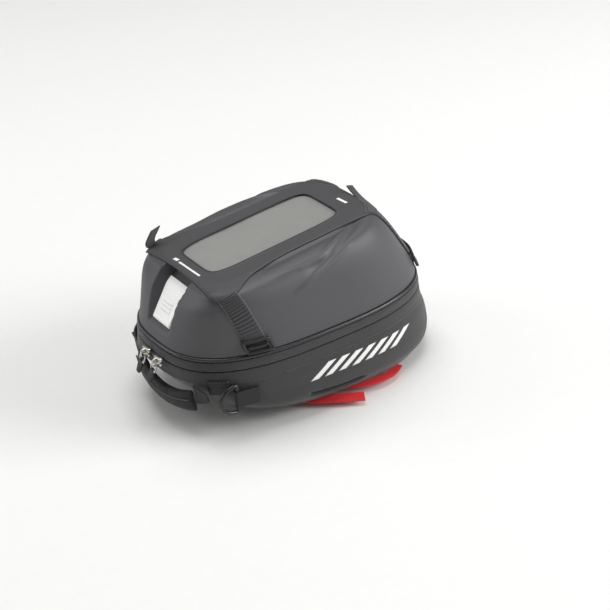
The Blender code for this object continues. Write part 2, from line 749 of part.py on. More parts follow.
def zip_slider(name, sign):
    """Metal slider on the closed zip, its puller frame and the rubber pull on it."""
    middle = place(-LOOP_A - 0.0062, sign * 0.0105 - 0.006, ZIP_LEVEL)
    parent = pivot("zip_slider_pivot_" + name, middle)
    body = prism(rounded_outline(0.0022, 0.0060, 0.0014, 2), -0.0042, 0.0042,
                 Matrix.Translation(middle))
    make_node("zip_slider_" + name, body, "nickel", smooth=False, parent=parent, origin=middle)

    hinge = middle + Vector((-0.0040, 0, -0.0010))
    swing = pivot("zip_pull_pivot_" + name, hinge)
    lean = Matrix.Translation(hinge) @ Matrix.Rotation(math.radians(32), 4, "X")
    frame = [(0, -0.0034, 0.0), (0, 0.0034, 0.0), (0, 0.0034, -0.0105), (0, -0.0034, -0.0105)]
    tube("zip_puller_" + name, [lean @ Vector(p) for p in frame], 0.0009, "nickel", cyclic=True,
         parent=swing, origin=hinge)
    tag = box_mesh((-0.0013, -0.0030, -0.0330), (0.0013, 0.0030, -0.0118), lean)
    make_node("zip_tag_" + name, tag, "pull_rubber", smooth=False, parent=swing, origin=hinge)


def main():
    for old in list(bpy.data.objects):
        bpy.data.objects.remove(old)
    build_lid(place(LOOP_A + 0.0048, 0.0, ZIP_LEVEL))
    shell = body_shell()
    band("body_zip_band", ZIP_LEVEL - 0.0020, FOLD_LEVEL, "weave")
    teeth("body_zip_teeth", ZIP_LEVEL - GAP / 2, ZIP_LEVEL - 0.0020 + GAP)
    hinge_strip()
    board = base_board()
    plate = counter_plate()
    housing = lock_housing()
    lock_seat()
    lock_cover()
    drill([shell, board, plate, housing])
    screws()
    for name, direction in (("front", 1), ("rear", -1)):
        jaw("lock_jaw_" + name, direction)
        jaw_spring("jaw_spring_" + name, direction)
    release()
    handle()
    for name, sign in (("right", -1), ("left", 1)):
        side_strip("side_welt_" + name, sign)
        d_ring(name, sign)
        zip_slider(name, sign)


main()
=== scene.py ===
"""Tank bag: moulded lid with a phone pocket, woven body, sewn webbing and the lock below.

Lengths are metres. +X is the motorcycle's front, +Y its left side and +Z is up.
"""
from math import atan2, copysign, cos, exp, hypot, pi, radians, sin

import bmesh
import bpy
from bpy.props import FloatProperty, FloatVectorProperty, PointerProperty
from mathutils import Matrix, Vector
from mathutils.bvhtree import BVHTree


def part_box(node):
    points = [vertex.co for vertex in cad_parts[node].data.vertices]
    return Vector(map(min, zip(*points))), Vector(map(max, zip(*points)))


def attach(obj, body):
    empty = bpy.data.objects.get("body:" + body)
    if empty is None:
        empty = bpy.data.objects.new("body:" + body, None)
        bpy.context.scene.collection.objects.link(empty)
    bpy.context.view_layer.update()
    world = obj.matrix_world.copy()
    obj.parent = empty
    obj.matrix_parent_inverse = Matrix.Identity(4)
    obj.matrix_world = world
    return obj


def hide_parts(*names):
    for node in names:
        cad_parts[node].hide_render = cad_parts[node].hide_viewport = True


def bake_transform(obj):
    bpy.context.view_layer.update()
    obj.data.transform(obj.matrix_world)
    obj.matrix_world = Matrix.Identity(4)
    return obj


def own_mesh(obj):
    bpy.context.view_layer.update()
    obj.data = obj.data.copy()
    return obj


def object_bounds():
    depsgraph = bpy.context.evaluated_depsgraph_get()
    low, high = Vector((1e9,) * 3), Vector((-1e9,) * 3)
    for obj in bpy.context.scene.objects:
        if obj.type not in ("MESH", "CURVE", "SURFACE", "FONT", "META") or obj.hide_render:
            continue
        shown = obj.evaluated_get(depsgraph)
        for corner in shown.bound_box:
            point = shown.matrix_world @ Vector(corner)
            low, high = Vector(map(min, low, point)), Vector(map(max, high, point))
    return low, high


bl_info = {
    "name": "Tank bag",
    "version": (1, 0, 0),
    "blender": (4, 5, 0),
    "location": "3D View > Sidebar > Tank bag",
    "description": "Builds a zipped tank bag with its webbing, pocket and lock",
    "category": "Object",
}

TURN = 2 * pi

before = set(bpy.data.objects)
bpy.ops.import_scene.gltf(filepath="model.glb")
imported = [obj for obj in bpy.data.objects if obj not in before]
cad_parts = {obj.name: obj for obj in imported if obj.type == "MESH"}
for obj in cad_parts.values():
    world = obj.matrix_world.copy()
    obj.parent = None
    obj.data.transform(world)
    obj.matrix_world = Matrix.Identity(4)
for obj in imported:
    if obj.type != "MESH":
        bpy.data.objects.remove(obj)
CAD_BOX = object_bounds()

PIPE_LOW, PIPE_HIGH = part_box("lid_piping")
BAG_X = (PIPE_LOW.x + PIPE_HIGH.x) / 2      # the bag's middle
PIPE_Z = (PIPE_LOW.z + PIPE_HIGH.z) / 2 + 0.0004   # height of the piped edge; levels count from it
LOOP_A, LOOP_B, LOOP_POWER = 0.1348, 0.0873, 2.81
ZIP_LEVEL, FOLD_LEVEL = -0.0110, -0.0235
PANEL_X, PANEL_LEVEL, PANEL_PITCH = -0.0154, 0.06865, radians(5.85)
HEM_MID, HEM_SLOPE = -0.0680, -0.066
SIDES = (("right", -1), ("left", 1))
SLIT_HALF = 0.0305                          # half the length of the slit in each side
FLOOR_Z = 0.0198                            # underside of the body's flat floor

# each lid ring: level at the pocket's middle, slope, front, rear, half width, front and rear power
LID_RINGS = (
    (0.0019, 0.0, 0.1342, 0.1342, 0.0867, 2.81, 2.81),
    (0.0130, 0.010, 0.1290, 0.1305, 0.0855, 2.85, 2.95),
    (0.0300, 0.030, 0.1170, 0.1255, 0.0830, 2.95, 3.3),
    (0.0480, 0.060, 0.1030, 0.1190, 0.0795, 3.1, 4.0),
    (0.0600, 0.092, 0.0910, 0.1110, 0.0740, 3.3, 5.0),
    (0.0655, 0.1025, 0.0840, 0.1065, 0.0665, 3.5, 6.0),
    (0.06765, 0.1025, 0.0790, 0.0990, 0.0520, 3.6, 6.0),
)
# each body ring: front, rear and half width, evenly spaced from the band's fold down to the hem
BODY_RINGS = (
    (0.1380, 0.1375, 0.0903),
    (0.1425, 0.1320, 0.0914),
    (0.1451, 0.1250, 0.0919),
    (0.1460, 0.1170, 0.0925),
    (0.1432, 0.1088, 0.0916),
    (0.1320, 0.1000, 0.0870),
)
# creases of the moulded shoulder on the right side, from the bag's middle and the piped edge
CREASE_UPPER = ((-0.052, -0.0665, 0.0605), (-0.019, -0.0705, 0.0620), (0.003, -0.0700, 0.0645),
                (0.026, -0.0610, 0.0705), (0.055, -0.0460, 0.0745))
CREASE_LOWER = ((-0.036, -0.0810, 0.0450), (-0.018, -0.0785, 0.0500), (0.0035, -0.0760, 0.0565),
                (0.031, -0.0695, 0.0655), (0.064, -0.0555, 0.0705))
CREASE_DIP = ((-0.020, -0.0755, 0.0560), (0.003, -0.0735, 0.0605), (0.0285, -0.0655, 0.0680),
              (0.060, -0.0505, 0.0730))
WAIST_DIP = ((-0.068, -0.0580, 0.0560), (-0.040, -0.0525, 0.0620), (0.0, -0.0510, 0.0665),
             (0.035, -0.0510, 0.0700), (0.072, -0.0490, 0.0730))
LID_CENTRE = Vector((BAG_X, 0, PIPE_Z + 0.02))
# the badge's outer face: x, level and half width, from its foot up to its bend and its tucked top
BADGE_LINE = ((-0.1272, 0.0160, 0.0150), (-0.1178, 0.0295, 0.0163), (-0.1085, 0.0425, 0.0176),
              (-0.1018, 0.0480, 0.0186))


# ---- shapes ----
def place(x, y, level):
    return Vector((BAG_X + x, y, PIPE_Z + level))


def spline(table, t):
    """Row of a table at a fractional place, on a smooth curve through its rows."""
    last = len(table) - 1
    t = min(max(t, 0.0), last)
    row = min(int(t), last - 1)
    s = t - row
    rows = (table[max(row - 1, 0)], table[row], table[row + 1], table[min(row + 2, last)])
    return [b + 0.5 * s * (c - a + s * (2 * a - 5 * b + 4 * c - d + s * (3 * (b - c) + d - a)))
            for a, b, c, d in zip(*rows)]


def ease(low, high, value):
    s = min(max((value - low) / (high - low), 0.0), 1.0)
    return s * s * (3 - 2 * s)


def blunt(value, power):
    """A sine or cosine bent towards a square's corners, with its sign kept."""
    return copysign(abs(value) ** power, value)


def oval(turn, front, rear, half, front_power=LOOP_POWER, rear_power=LOOP_POWER):
    """Point of a superellipse at an even turn; its front and rear halves can differ."""
    along, across = cos(turn), sin(turn)
    reach, power = (front, front_power) if along > 0 else (rear, rear_power)
    size = (abs(along) ** power + abs(across) ** power) ** (-1 / power)
    return reach * along * size, half * across * size


def distance_to(point, line):
    """Distance to a bent line, and how far along the line the nearest place is, from 0 to 1."""
    best, share = 1.0, 0.0
    for step, (start, end) in enumerate(zip(line, line[1:])):
        start, end = Vector(start), Vector(end)
        run = end - start
        s = min(max((point - start).dot(run) / run.length_squared, 0.0), 1.0)
        gap = (point - start - run * s).length
        if gap < best:
            best, share = gap, (step + s) / (len(line) - 1)
    return best, share


def lid_base(turn, t):
    level, slope, *shape = spline(LID_RINGS, t)
    x, y = oval(turn, *shape)
    return place(x, y, level + slope * (x - PANEL_X))


def lid_point(turn, t, lift=0.0):
    base = lid_base(turn, t)
    along = lid_base(turn + 0.01, t) - lid_base(turn - 0.01, t)
    up = lid_base(turn, min(t + 0.05, 6)) - lid_base(turn, max(t - 0.05, 0))
    return base + along.cross(up).normalized() * lift


def crease(point):
    """Height of the shoulder's two creases and the dip between them."""
    local = Vector((point.x - BAG_X, -abs(point.y), point.z - PIPE_Z))
    if not -0.08 < local.x < 0.09 or local.y > -0.035 or local.z < 0.035:
        return 0.0
    rise = 0.0
    for line, width, height in ((CREASE_UPPER, 0.0022, 0.0016), (CREASE_LOWER, 0.0024, 0.0022),
                                (CREASE_DIP, 0.0040, -0.0020), (WAIST_DIP, 0.0050, -0.0024)):
        gap, share = distance_to(local, line)
        ends = ease(0.0, 0.3, share) * ease(1.0, 0.82, share) if share else 0.0
        rise += height * exp(-(gap / width) ** 2) * ends
    return rise


def badge_row(level):
    """x and half width of the badge's face at a level, carried on past its ends."""
    for (x0, z0, w0), (x1, z1, w1) in zip(BADGE_LINE, BADGE_LINE[1:]):
        if level < z1 or z1 == BADGE_LINE[-1][1]:
            s = (level - z0) / (z1 - z0)
            return x0 + (x1 - x0) * s, w0 + (w1 - w0) * min(s, 1.2)


def badge_recess(point):
    """The lid's outside sinks behind the badge, between two steep side walls."""
    x, level = point.x - BAG_X, point.z - PIPE_Z
    if x > -0.085 or level < 0.008 or abs(point.y) > 0.03:
        return point
    face, half = badge_row(level)
    floor = min(face + 0.0030, -0.0925)
    wall = 1 - ease(half + 0.0012, half + 0.0046, abs(point.y))
    fade = ease(0.0085, 0.0150, level)
    point.x += max(BAG_X + floor - point.x, 0.0) * wall * fade
    return point


def band_bulge(level):
    return 0.0012 + 0.0018 * min(1.0, -level / 0.0235)


def band_point(turn, level, out=0.0):
    more = band_bulge(level) + out
    x, y = oval(turn, LOOP_A + more, LOOP_A + more, LOOP_B + more)
    return place(x, y, level)


def body_point(turn, share, lift=0.0):
    front, rear, half = spline(BODY_RINGS, share * (len(BODY_RINGS) - 1))
    x, y = oval(turn, front + lift, rear + lift, half + lift)
    top = FOLD_LEVEL - 0.0003
    return place(x, y, top + share * (HEM_MID + HEM_SLOPE * x - top))


def slit_line(along):
    """Share of the body's height at which the side slit runs, from its one end to the other."""
    return 0.780 + 0.025 * along + 0.035 * (1 - along * along)


def turn_at(x, reach, power=LOOP_POWER, side=-1):
    """Turn of a superellipse's point at a given x."""
    s = min(abs(x) / reach, 1.0)
    return side * atan2((1 - s ** power) ** (1 / power), copysign(s, x))


# ---- mesh tools ----
def patch(columns, rows, shape, size=(1.0, 1.0)):
    """A grid bent into a surface: shape(u, v) gives its points, and size its cloth in metres."""
    mesh = bmesh.new()
    cloth = mesh.loops.layers.uv.new("cloth")
    bmesh.ops.create_grid(mesh, x_segments=columns, y_segments=rows, size=0.5)
    for face in mesh.faces:
        for loop in face.loops:
            loop[cloth].uv = ((loop.vert.co.x + 0.5) * size[0], (loop.vert.co.y + 0.5) * size[1])
    for vertex in mesh.verts:
        vertex.co = shape(*(min(max(at + 0.5, 0.0), 1.0) for at in vertex.co.xy))
    return mesh


def weld(mesh, within=0.000002):
    bmesh.ops.remove_doubles(mesh, verts=mesh.verts, dist=within)
    return mesh


def lay_flat(mesh, tilt=0.7):
    """Map the level faces' cloth from above, so that its threads don't fan out from the middle."""
    cloth = mesh.loops.layers.uv["cloth"]
    mesh.normal_update()
    for face in mesh.faces:
        if abs(face.normal.z) > tilt:
            for loop in face.loops:
                loop[cloth].uv = loop.vert.co.xy
    return mesh


def outward(mesh):
    bmesh.ops.recalc_face_normals(mesh, faces=mesh.faces)
    return mesh


def facing(mesh, way=(0, 0, 1), centre=None):
    """Point an open sheet's faces one way, or away from a centre."""
    outward(mesh)
    way = Vector(way)
    if sum(face.normal.dot(face.calc_center_median() - centre if centre else way)
           for face in mesh.faces) < 0:
        bmesh.ops.reverse_faces(mesh, faces=mesh.faces)
    return mesh


def swept(path, section, around=12, closed=False, size=(1.0, 1.0)):
    """Carry a section along a path: section(turn, share) gives its offset across and out."""
    path = [Vector(p) for p in path]
    count = len(path)
    sides, outs = [], []
    normal = Vector((0, 0, 1))
    for step in range(count):
        ahead = path[(step + 1) % count] if closed or step < count - 1 else path[step]
        behind = path[step - 1] if closed or step else path[step]
        along = (ahead - behind).normalized()
        if step == 0 and abs(along.z) > 0.9:
            normal = Vector((1, 0, 0))
        normal = (normal - along * normal.dot(along)).normalized()
        outs.append(normal.copy())
        sides.append(along.cross(normal))
    steps = count if closed else count - 1

    def shape(u, v):
        step = round(v * steps)
        turn = TURN * u
        across, out = section(turn, step / steps)
        step %= count
        return path[step] + sides[step] * across + outs[step] * out
    mesh = weld(patch(around, steps, shape, size))
    if not closed:
        bmesh.ops.holes_fill(mesh, edges=mesh.edges, sides=0)
    return outward(mesh)


def round_section(radius):
    return lambda turn, share: (radius * cos(turn), radius * sin(turn))


def curve_through(points, steps):
    """Evenly counted points on a smooth curve through a few."""
    return [Vector(spline(points, (len(points) - 1) * k / steps)) for k in range(steps + 1)]


def joined(meshes):
    """Several bmeshes as one."""
    whole = bmesh.new()
    for mesh in meshes:
        store = bpy.data.meshes.new("part")
        mesh.to_mesh(store)
        mesh.free()
        whole.from_mesh(store)
        bpy.data.meshes.remove(store)
    return whole


def block(low, high, round_by, segments):
    """A bevelled block between two corners."""
    mesh = bmesh.new()
    bmesh.ops.create_cube(mesh, size=1.0)
    low, high = Vector(low), Vector(high)
    for vertex in mesh.verts:
        vertex.co = Vector([low[i] + (vertex.co[i] + 0.5) * (high[i] - low[i]) for i in range(3)])
    bmesh.ops.bevel(mesh, geom=mesh.edges[:], offset=round_by, segments=segments, affect="EDGES",
                    profile=0.5, material=-1)
    return mesh


def finish(name, mesh, made_of, body, replaces=(), wall=0.0, lining=None, sharp=None,
           smooth=True, rounded=0.0):
    """Turn a bmesh into a piece of one of the finishes that rides on a body."""
    data = bpy.data.meshes.new(name)
    mesh.to_mesh(data)
    mesh.free()
    for key in (made_of, lining) if lining else (made_of,):
        data.materials.append(surface(key))
    for face in data.polygons:
        face.use_smooth = smooth
    if sharp:
        data.set_sharp_from_angle(angle=radians(sharp))
    piece = bpy.data.objects.new(name, data)
    bpy.context.scene.collection.objects.link(piece)
    if wall:
        step = piece.modifiers.new("wall", "SOLIDIFY")
        step.thickness = wall
        step.offset = -1
        step.use_even_offset = bool(lining)
        step.material_offset = 1 if lining else 0
    if rounded:
        step = piece.modifiers.new("rounded", "BEVEL")
        step.width = rounded
        step.segments = 2
        step.limit_method = "ANGLE"
        step.angle_limit = radians(50)
    if body:
        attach(piece, body)
    if replaces:
        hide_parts(*replaces)
    return piece


def bake(piece):
    """Make a piece's modifiers part of its mesh."""
    depsgraph = bpy.context.evaluated_depsgraph_get()
    data = bpy.data.meshes.new_from_object(piece.evaluated_get(depsgraph))
    piece.modifiers.clear()
    piece.data = data
    return piece


def stitch_row(spots, length=0.0022, width=0.0007):
    """A row of low, lens-shaped stitches: each spot is a place, the seam's way and the way out."""
    meshes = []
    for centre, way, out in spots:
        mesh = bmesh.new()
        bmesh.ops.create_uvsphere(mesh, u_segments=6, v_segments=4, radius=0.5)
        way = (way - out * way.dot(out)).normalized()
        frame3 = Matrix((way * length, out.cross(way) * width, out * width * 0.8)).transposed()
        bmesh.ops.transform(mesh, matrix=Matrix.Translation(centre) @ frame3.to_4x4(),
                            verts=mesh.verts)
        meshes.append(mesh)
    return joined(meshes)


# ---- finishes ----
def linear(code):
    """Linear colour of an sRGB hex code."""
    parts = [int(code[i:i + 2], 16) / 255 for i in (1, 3, 5)]
    return tuple(c / 12.92 if c <= 0.04045 else ((c + 0.055) / 1.055) ** 2.4 for c in parts)


def node(tree, kind, values=None, links=None, **settings):
    """Add a node with its settings, socket values and links."""
    made = tree.nodes.new(kind)
    for key, value in settings.items():
        setattr(made, key, value)
    for socket, value in (values or {}).items():
        made.inputs[socket].default_value = value
    for socket, source in (links or {}).items():
        tree.links.new(source, made.inputs[socket])
    return made


def bands(pitch):
    """Scale at which a band wave repeats every pitch metres."""
    return pi / 10 / pitch


def surface(key):
    """The material of one of the finishes."""
    *row, more = FINISHES[key]
    return procedural(*row, **more)


def procedural(name, colour, roughness, speckle, grain, bump, metallic=0.0, weave=None,
               cloth=False, rough_by=0.06, see_through=False, **sockets):
    """A base colour broken up by grain, which also sets bump and roughness.

    colour is a hex code or one of the user's colours, and weave is (pitch across, pitch along,
    depth) of crossing threads. cloth reads the piece's own UV map.
    """
    if name in bpy.data.materials:
        return bpy.data.materials[name]
    colour = linear(colour) if colour[0] == "#" else tuple(getattr(bag().colours, colour))
    made = bpy.data.materials.new(name)
    made.use_nodes = True
    tree = made.node_tree
    shader = tree.nodes["Principled BSDF"]
    shader.inputs["Metallic"].default_value = metallic
    for socket, value in sockets.items():
        shader.inputs[socket.replace("_", " ")].default_value = value
    place_by = node(tree, "ShaderNodeTexCoord")
    spot = place_by.outputs["Object"]
    fine = node(tree, "ShaderNodeTexNoise", {"Scale": 1 / grain, "Detail": 3.0, "Roughness": 0.6},
                {"Vector": spot})
    broad = node(tree, "ShaderNodeTexNoise", {"Scale": 22.0, "Detail": 2.0}, {"Vector": spot})
    height = fine.outputs["Fac"]
    if weave:
        across, along, depth = weave
        threads = spot if not cloth else place_by.outputs["UV"]
        one = node(tree, "ShaderNodeTexWave", {"Scale": bands(across), "Distortion": 0.0},
                   {"Vector": threads}, bands_direction="X")
        two = node(tree, "ShaderNodeTexWave", {"Scale": bands(along), "Distortion": 0.0},
                   {"Vector": threads}, bands_direction="Y" if cloth else "Z")
        cross = node(tree, "ShaderNodeMath", {}, {0: one.outputs["Fac"], 1: two.outputs["Fac"]},
                     operation="MULTIPLY")
        part = node(tree, "ShaderNodeMath", {1: 1 - depth}, {0: height}, operation="MULTIPLY")
        height = node(tree, "ShaderNodeMath", {1: depth},
                      {0: cross.outputs[0], 2: part.outputs[0]},
                      operation="MULTIPLY_ADD").outputs[0]
    mixed = node(tree, "ShaderNodeMath", {1: 0.35}, {0: broad.outputs["Fac"], 2: height},
                 operation="MULTIPLY_ADD")
    dark = tuple(c * (1 - speckle) for c in colour)
    light = tuple(min(c * (1 + speckle), 1.0) for c in colour)
    ramp = node(tree, "ShaderNodeValToRGB", {}, {"Fac": mixed.outputs[0]})
    ramp.color_ramp.elements[0].position, ramp.color_ramp.elements[1].position = 0.45, 0.95
    ramp.color_ramp.elements[0].color = (*dark, 1)
    ramp.color_ramp.elements[1].color = (*light, 1)
    tree.links.new(ramp.outputs["Color"], shader.inputs["Base Color"])
    rough = node(tree, "ShaderNodeMapRange",
                 {"From Min": 0.3, "From Max": 1.0, "To Min": roughness - rough_by,
                  "To Max": roughness + rough_by}, {"Value": mixed.outputs[0]})
    tree.links.new(rough.outputs[0], shader.inputs["Roughness"])
    bumped = node(tree, "ShaderNodeBump", {"Strength": bump, "Distance": grain * 0.5},
                  {"Height": height})
    tree.links.new(bumped.outputs["Normal"], shader.inputs["Normal"])
    if see_through:
        made.surface_render_method = "BLENDED"
    return made


# each finish: material, colour, roughness, speckle, grain in metres, bump and what else it has
FINISHES = {
    # EVA foam, thermoformed under a PU film: matte satin with a faint pebble grain
    "foam": ("eva_foam_thermoformed", "lid", 0.50, 0.05, 0.0011, 0.10, dict(rough_by=0.05)),
    # 600-denier polyester, plain woven; threads of 0.5 mm drawn 1.3 mm apart so that they show
    "cloth": ("polyester_600d_woven", "weave", 0.86, 0.42, 0.0010, 0.55,
              dict(weave=(0.0013, 0.0013, 0.55), cloth=True, rough_by=0.05, Sheen_Weight=0.25,
                   Sheen_Roughness=0.5)),
    # nylon lining, knitted: soft grey, no gloss, a fine 1 mm mesh drawn as it is
    "lining": ("nylon_lining_knitted", "#5a5a5c", 0.9, 0.2, 0.0012, 0.3,
               dict(weave=(0.0010, 0.0010, 0.5), cloth=True)),
    # PVC piping, extruded over a cord: a smooth dark bead with a soft highlight along it
    "piping": ("pvc_piping_extruded", "#2e2e31", 0.27, 0.06, 0.0015, 0.06, dict(rough_by=0.05)),
    # PU-coated polyester, calendered: charcoal, matte, with a fine leather-like grain
    "coated": ("polyester_pu_coated", "panel", 0.60, 0.08, 0.0009, 0.16, dict(rough_by=0.05)),
    # clear vinyl film, calendered: glossy, slightly cloudy and wavy; its light grey colour is
    # partly the film's own cloudiness and partly painted reflection of the studio light on it
    "film": ("pvc_film_calendered", "#a9a9a6", 0.20, 0.03, 0.02, 0.05,
             dict(see_through=True, IOR=1.53, Alpha=0.62, Coat_Weight=0.3, Coat_Roughness=0.08)),
    # polyester elastic, woven with raised cross ribs: dull black with lighter rib tops
    "elastic": ("polyester_elastic_ribbed", "#3c3c3f", 0.85, 0.35, 0.0007, 0.5,
                dict(weave=(0.0011, 0.0030, 0.5), cloth=True, Sheen_Weight=0.3)),
    # polypropylene webbing, flat woven: black, slightly shiny threads running lengthwise
    "webbing": ("polypropylene_webbing", "#1d1d1f", 0.62, 0.3, 0.0008, 0.5,
                dict(weave=(0.0012, 0.0024, 0.6), cloth=True)),
    # neoprene, laminated with knitted jersey: black, soft, with a 1 mm knit
    "neoprene": ("neoprene_jersey", "#17171a", 0.8, 0.25, 0.0011, 0.4, dict(Sheen_Weight=0.10)),
    # thermoplastic rubber, moulded and painted silver-grey: satin with a faint silver fleck; its
    # colour is raised to near white as painted light, making up for the shade it sits in facing the
    # rear
    "badge": ("tpr_badge_moulded", "#fafaf8", 0.34, 0.05, 0.0016, 0.05, {}),
    # nylon 6, injection moulded black: glossy with faint flow marks
    "nylon": ("nylon_moulded_black", "#19191a", 0.30, 0.12, 0.0022, 0.05,
              dict(rough_by=0.08, IOR=1.53)),
    # nylon monofilament, wound into a zip coil: black and only slightly glossy
    "coil": ("nylon_coil_wound", "#1a1a1b", 0.62, 0.15, 0.0009, 0.15, {}),
    # ABS, moulded in a spark-eroded tool: black, matte, with a 0.8 mm stipple
    "abs": ("abs_moulded_stippled", "#1e1e20", 0.52, 0.12, 0.0008, 0.2, dict(IOR=1.54)),
    # zinc die casting, nickel plated: bright warm grey with soft casting waves
    "nickel": ("zinc_nickel_plated", "#c9c6bf", 0.22, 0.06, 0.0024, 0.05,
               dict(metallic=1.0, rough_by=0.08)),
    # mild steel, stamped and zinc plated: grey with a broad mottled spangle
    "steel": ("steel_zinc_plated", "#a3a6a8", 0.38, 0.12, 0.0060, 0.05,
              dict(metallic=1.0, rough_by=0.10)),
    # soft PVC, moulded: dark grey, matte, finely pebbled
    "rubber": ("pvc_soft_moulded", "#2d2d2f", 0.58, 0.10, 0.0009, 0.15, {}),
    # polyester webbing, woven from dyed yarn: strong red with visible lengthwise ribs
    "red": ("polyester_webbing_red", "pull", 0.62, 0.22, 0.0008, 0.5,
            dict(weave=(0.0016, 0.0016, 0.6), cloth=True, Sheen_Weight=0.2)),
    # polyethylene board, extruded: black-grey with a dull pebbled face
    "board": ("polyethylene_board", "#2a2a2b", 0.6, 0.10, 0.0015, 0.2, {}),
    # plastisol ink, screen printed: flat white that fills the weave
    "print": ("plastisol_print_white", "#f1f1ef", 0.6, 0.04, 0.0012, 0.12, {}),
    # bonded nylon thread, twisted: dark grey with a small gloss
    "thread": ("nylon_thread_twisted", "#454547", 0.5, 0.2, 0.0006, 0.3, {}),
    # emulsion on a studio floor: pale and matte
    "floor": ("floor_paint_matte", "#ededeb", 0.9, 0.01, 0.01, 0.02, {}),
}


# ---- what a user may change ----
class TankBagSizes(bpy.types.PropertyGroup):
    lid_wall: FloatProperty(name="Lid wall", description="Thickness of the moulded lid",
                            default=0.0020, min=0.0010, max=0.0040, unit="LENGTH")
    body_wall: FloatProperty(name="Body wall", description="Thickness of the woven body",
                             default=0.0020, min=0.0010, max=0.0030, unit="LENGTH")
    piping_radius: FloatProperty(name="Piping radius", description="Radius of the lid's bead",
                                 default=0.0019, min=0.0010, max=0.0022, unit="LENGTH")
    rib_pitch: FloatProperty(name="Rib pitch", description="Distance between the straps' ribs",
                             default=0.0032, min=0.0020, max=0.0060, unit="LENGTH")
    tooth_pitch: FloatProperty(name="Tooth pitch", description="Distance between zip teeth",
                               default=0.0021, min=0.0015, max=0.0050, unit="LENGTH")
    grip_plump: FloatProperty(name="Grip pressure", description="How hard the grip's foam swells",
                              default=4.0, min=0.0, max=10.0)


class TankBagColours(bpy.types.PropertyGroup):
    lid: FloatVectorProperty(name="Lid", description="Moulded lid", subtype="COLOR", size=3,
                             default=linear("#4b4b4e"), min=0.0, max=1.0)
    panel: FloatVectorProperty(name="Pocket", description="Pocket panel", subtype="COLOR", size=3,
                               default=linear("#414143"), min=0.0, max=1.0)
    weave: FloatVectorProperty(name="Body", description="Woven body and zip band",
                               subtype="COLOR", size=3, default=linear("#3b3b3d"),
                               min=0.0, max=1.0)
    pull: FloatVectorProperty(name="Release pull", description="Red webbing of the lock's release",
                              subtype="COLOR", size=3, default=linear("#e8141c"),
                              min=0.0, max=1.0)


class TankBagSettings(bpy.types.PropertyGroup):
    sizes: PointerProperty(type=TankBagSizes)
    colours: PointerProperty(type=TankBagColours)


def bag():
    return bpy.context.scene.tank_bag


# ---- lid ----
def panel_tilt():
    """From the pocket's own plane to the bag."""
    return (Matrix.Translation(place(PANEL_X, 0, PANEL_LEVEL))
            @ Matrix.Rotation(-PANEL_PITCH, 4, "Y"))


def recess_point(turn, depth):
    x, y = oval(turn, 0.075, 0.075, 0.037, 9.0, 9.0)
    return panel_tilt() @ Vector((x, y, -depth))


class TANKBAG_OT_lid(bpy.types.Operator):
    """Moulded lid with its shoulder creases, the badge's recess and the pocket's hollow"""
    bl_idname = "tankbag.lid"
    bl_label = "Lid"

    def execute(self, context):
        edge, depth = 0.0010, 0.0108                # of the pocket's hollow
        middle = (recess_point(0, depth) + recess_point(pi, depth)) / 2
        outside, rim, wall = 0.80, 0.88, 0.94       # where the rows leave each part

        def shape(u, v):
            turn = TURN * (u + 0.5)
            turn += 0.12 * sin(2 * turn)       # closer columns along the creased sides
            if v <= outside:
                point = lid_point(turn, v / outside * 6)
                rise = crease(point)
                if rise:
                    point = lid_point(turn, v / outside * 6, rise)
                return badge_recess(point)
            if v <= rim:
                share = (v - outside) / (rim - outside)
                return badge_recess(lid_base(turn, 6).lerp(recess_point(turn, edge), share))
            if v <= wall:
                return recess_point(turn, edge + (depth - edge) * (v - rim) / (wall - rim))
            return recess_point(turn, depth).lerp(middle, (v - wall) / (1 - wall))
        mesh = lay_flat(weld(patch(420, 100, shape, (0.70, 0.16))))
        finish("lid_moulding", mesh, "foam", "lid", ("lid_shell",),
               wall=bag().sizes.lid_wall - 0.0002, lining="lining")
        return {"FINISHED"}


class TANKBAG_OT_piping(bpy.types.Operator):
    """Bead round the lid's edge with its sewn flange and the stitches that hold it"""
    bl_idname = "tankbag.piping"
    bl_label = "Piping"

    def execute(self, context):
        radius = bag().sizes.piping_radius

        def bead(u, v):
            turn, about = TURN * u, TURN * v
            x, y = oval(turn, LOOP_A - 0.0004, LOOP_A - 0.0004, LOOP_B - 0.0004)
            out = Vector((cos(turn) / LOOP_A, sin(turn) / LOOP_B, 0)).normalized()
            return place(x, y, -0.0004 - radius * sin(about)) + out * radius * cos(about)
        finish("lid_piping_bead", outward(weld(patch(360, 16, bead, (0.7, 0.012)))), "piping",
               "lid", ("lid_piping",))
        return {"FINISHED"}


# ---- zip ----
def band_section(top, bottom, thick, lip):
    """Section of a zip band: v runs down its face, round its lip and up its back."""
    def at(turn, v):
        face, rim = 0.46, 0.54
        if v <= face:
            level = top + (bottom - top) * v / face
            out = 0.0004 * sin(pi * v / face) + lip * ease(0.7, 1.0, v / face)
        elif v < rim:
            about = pi * (v - face) / (rim - face)
            level = bottom + 0.0003 * sin(about)
            out = lip - (thick + lip) * (1 - cos(about)) / 2
        else:
            level = bottom + (top - bottom) * (v - rim) / (1 - rim)
            out = -thick
        return band_point(turn, level, out)
    return at


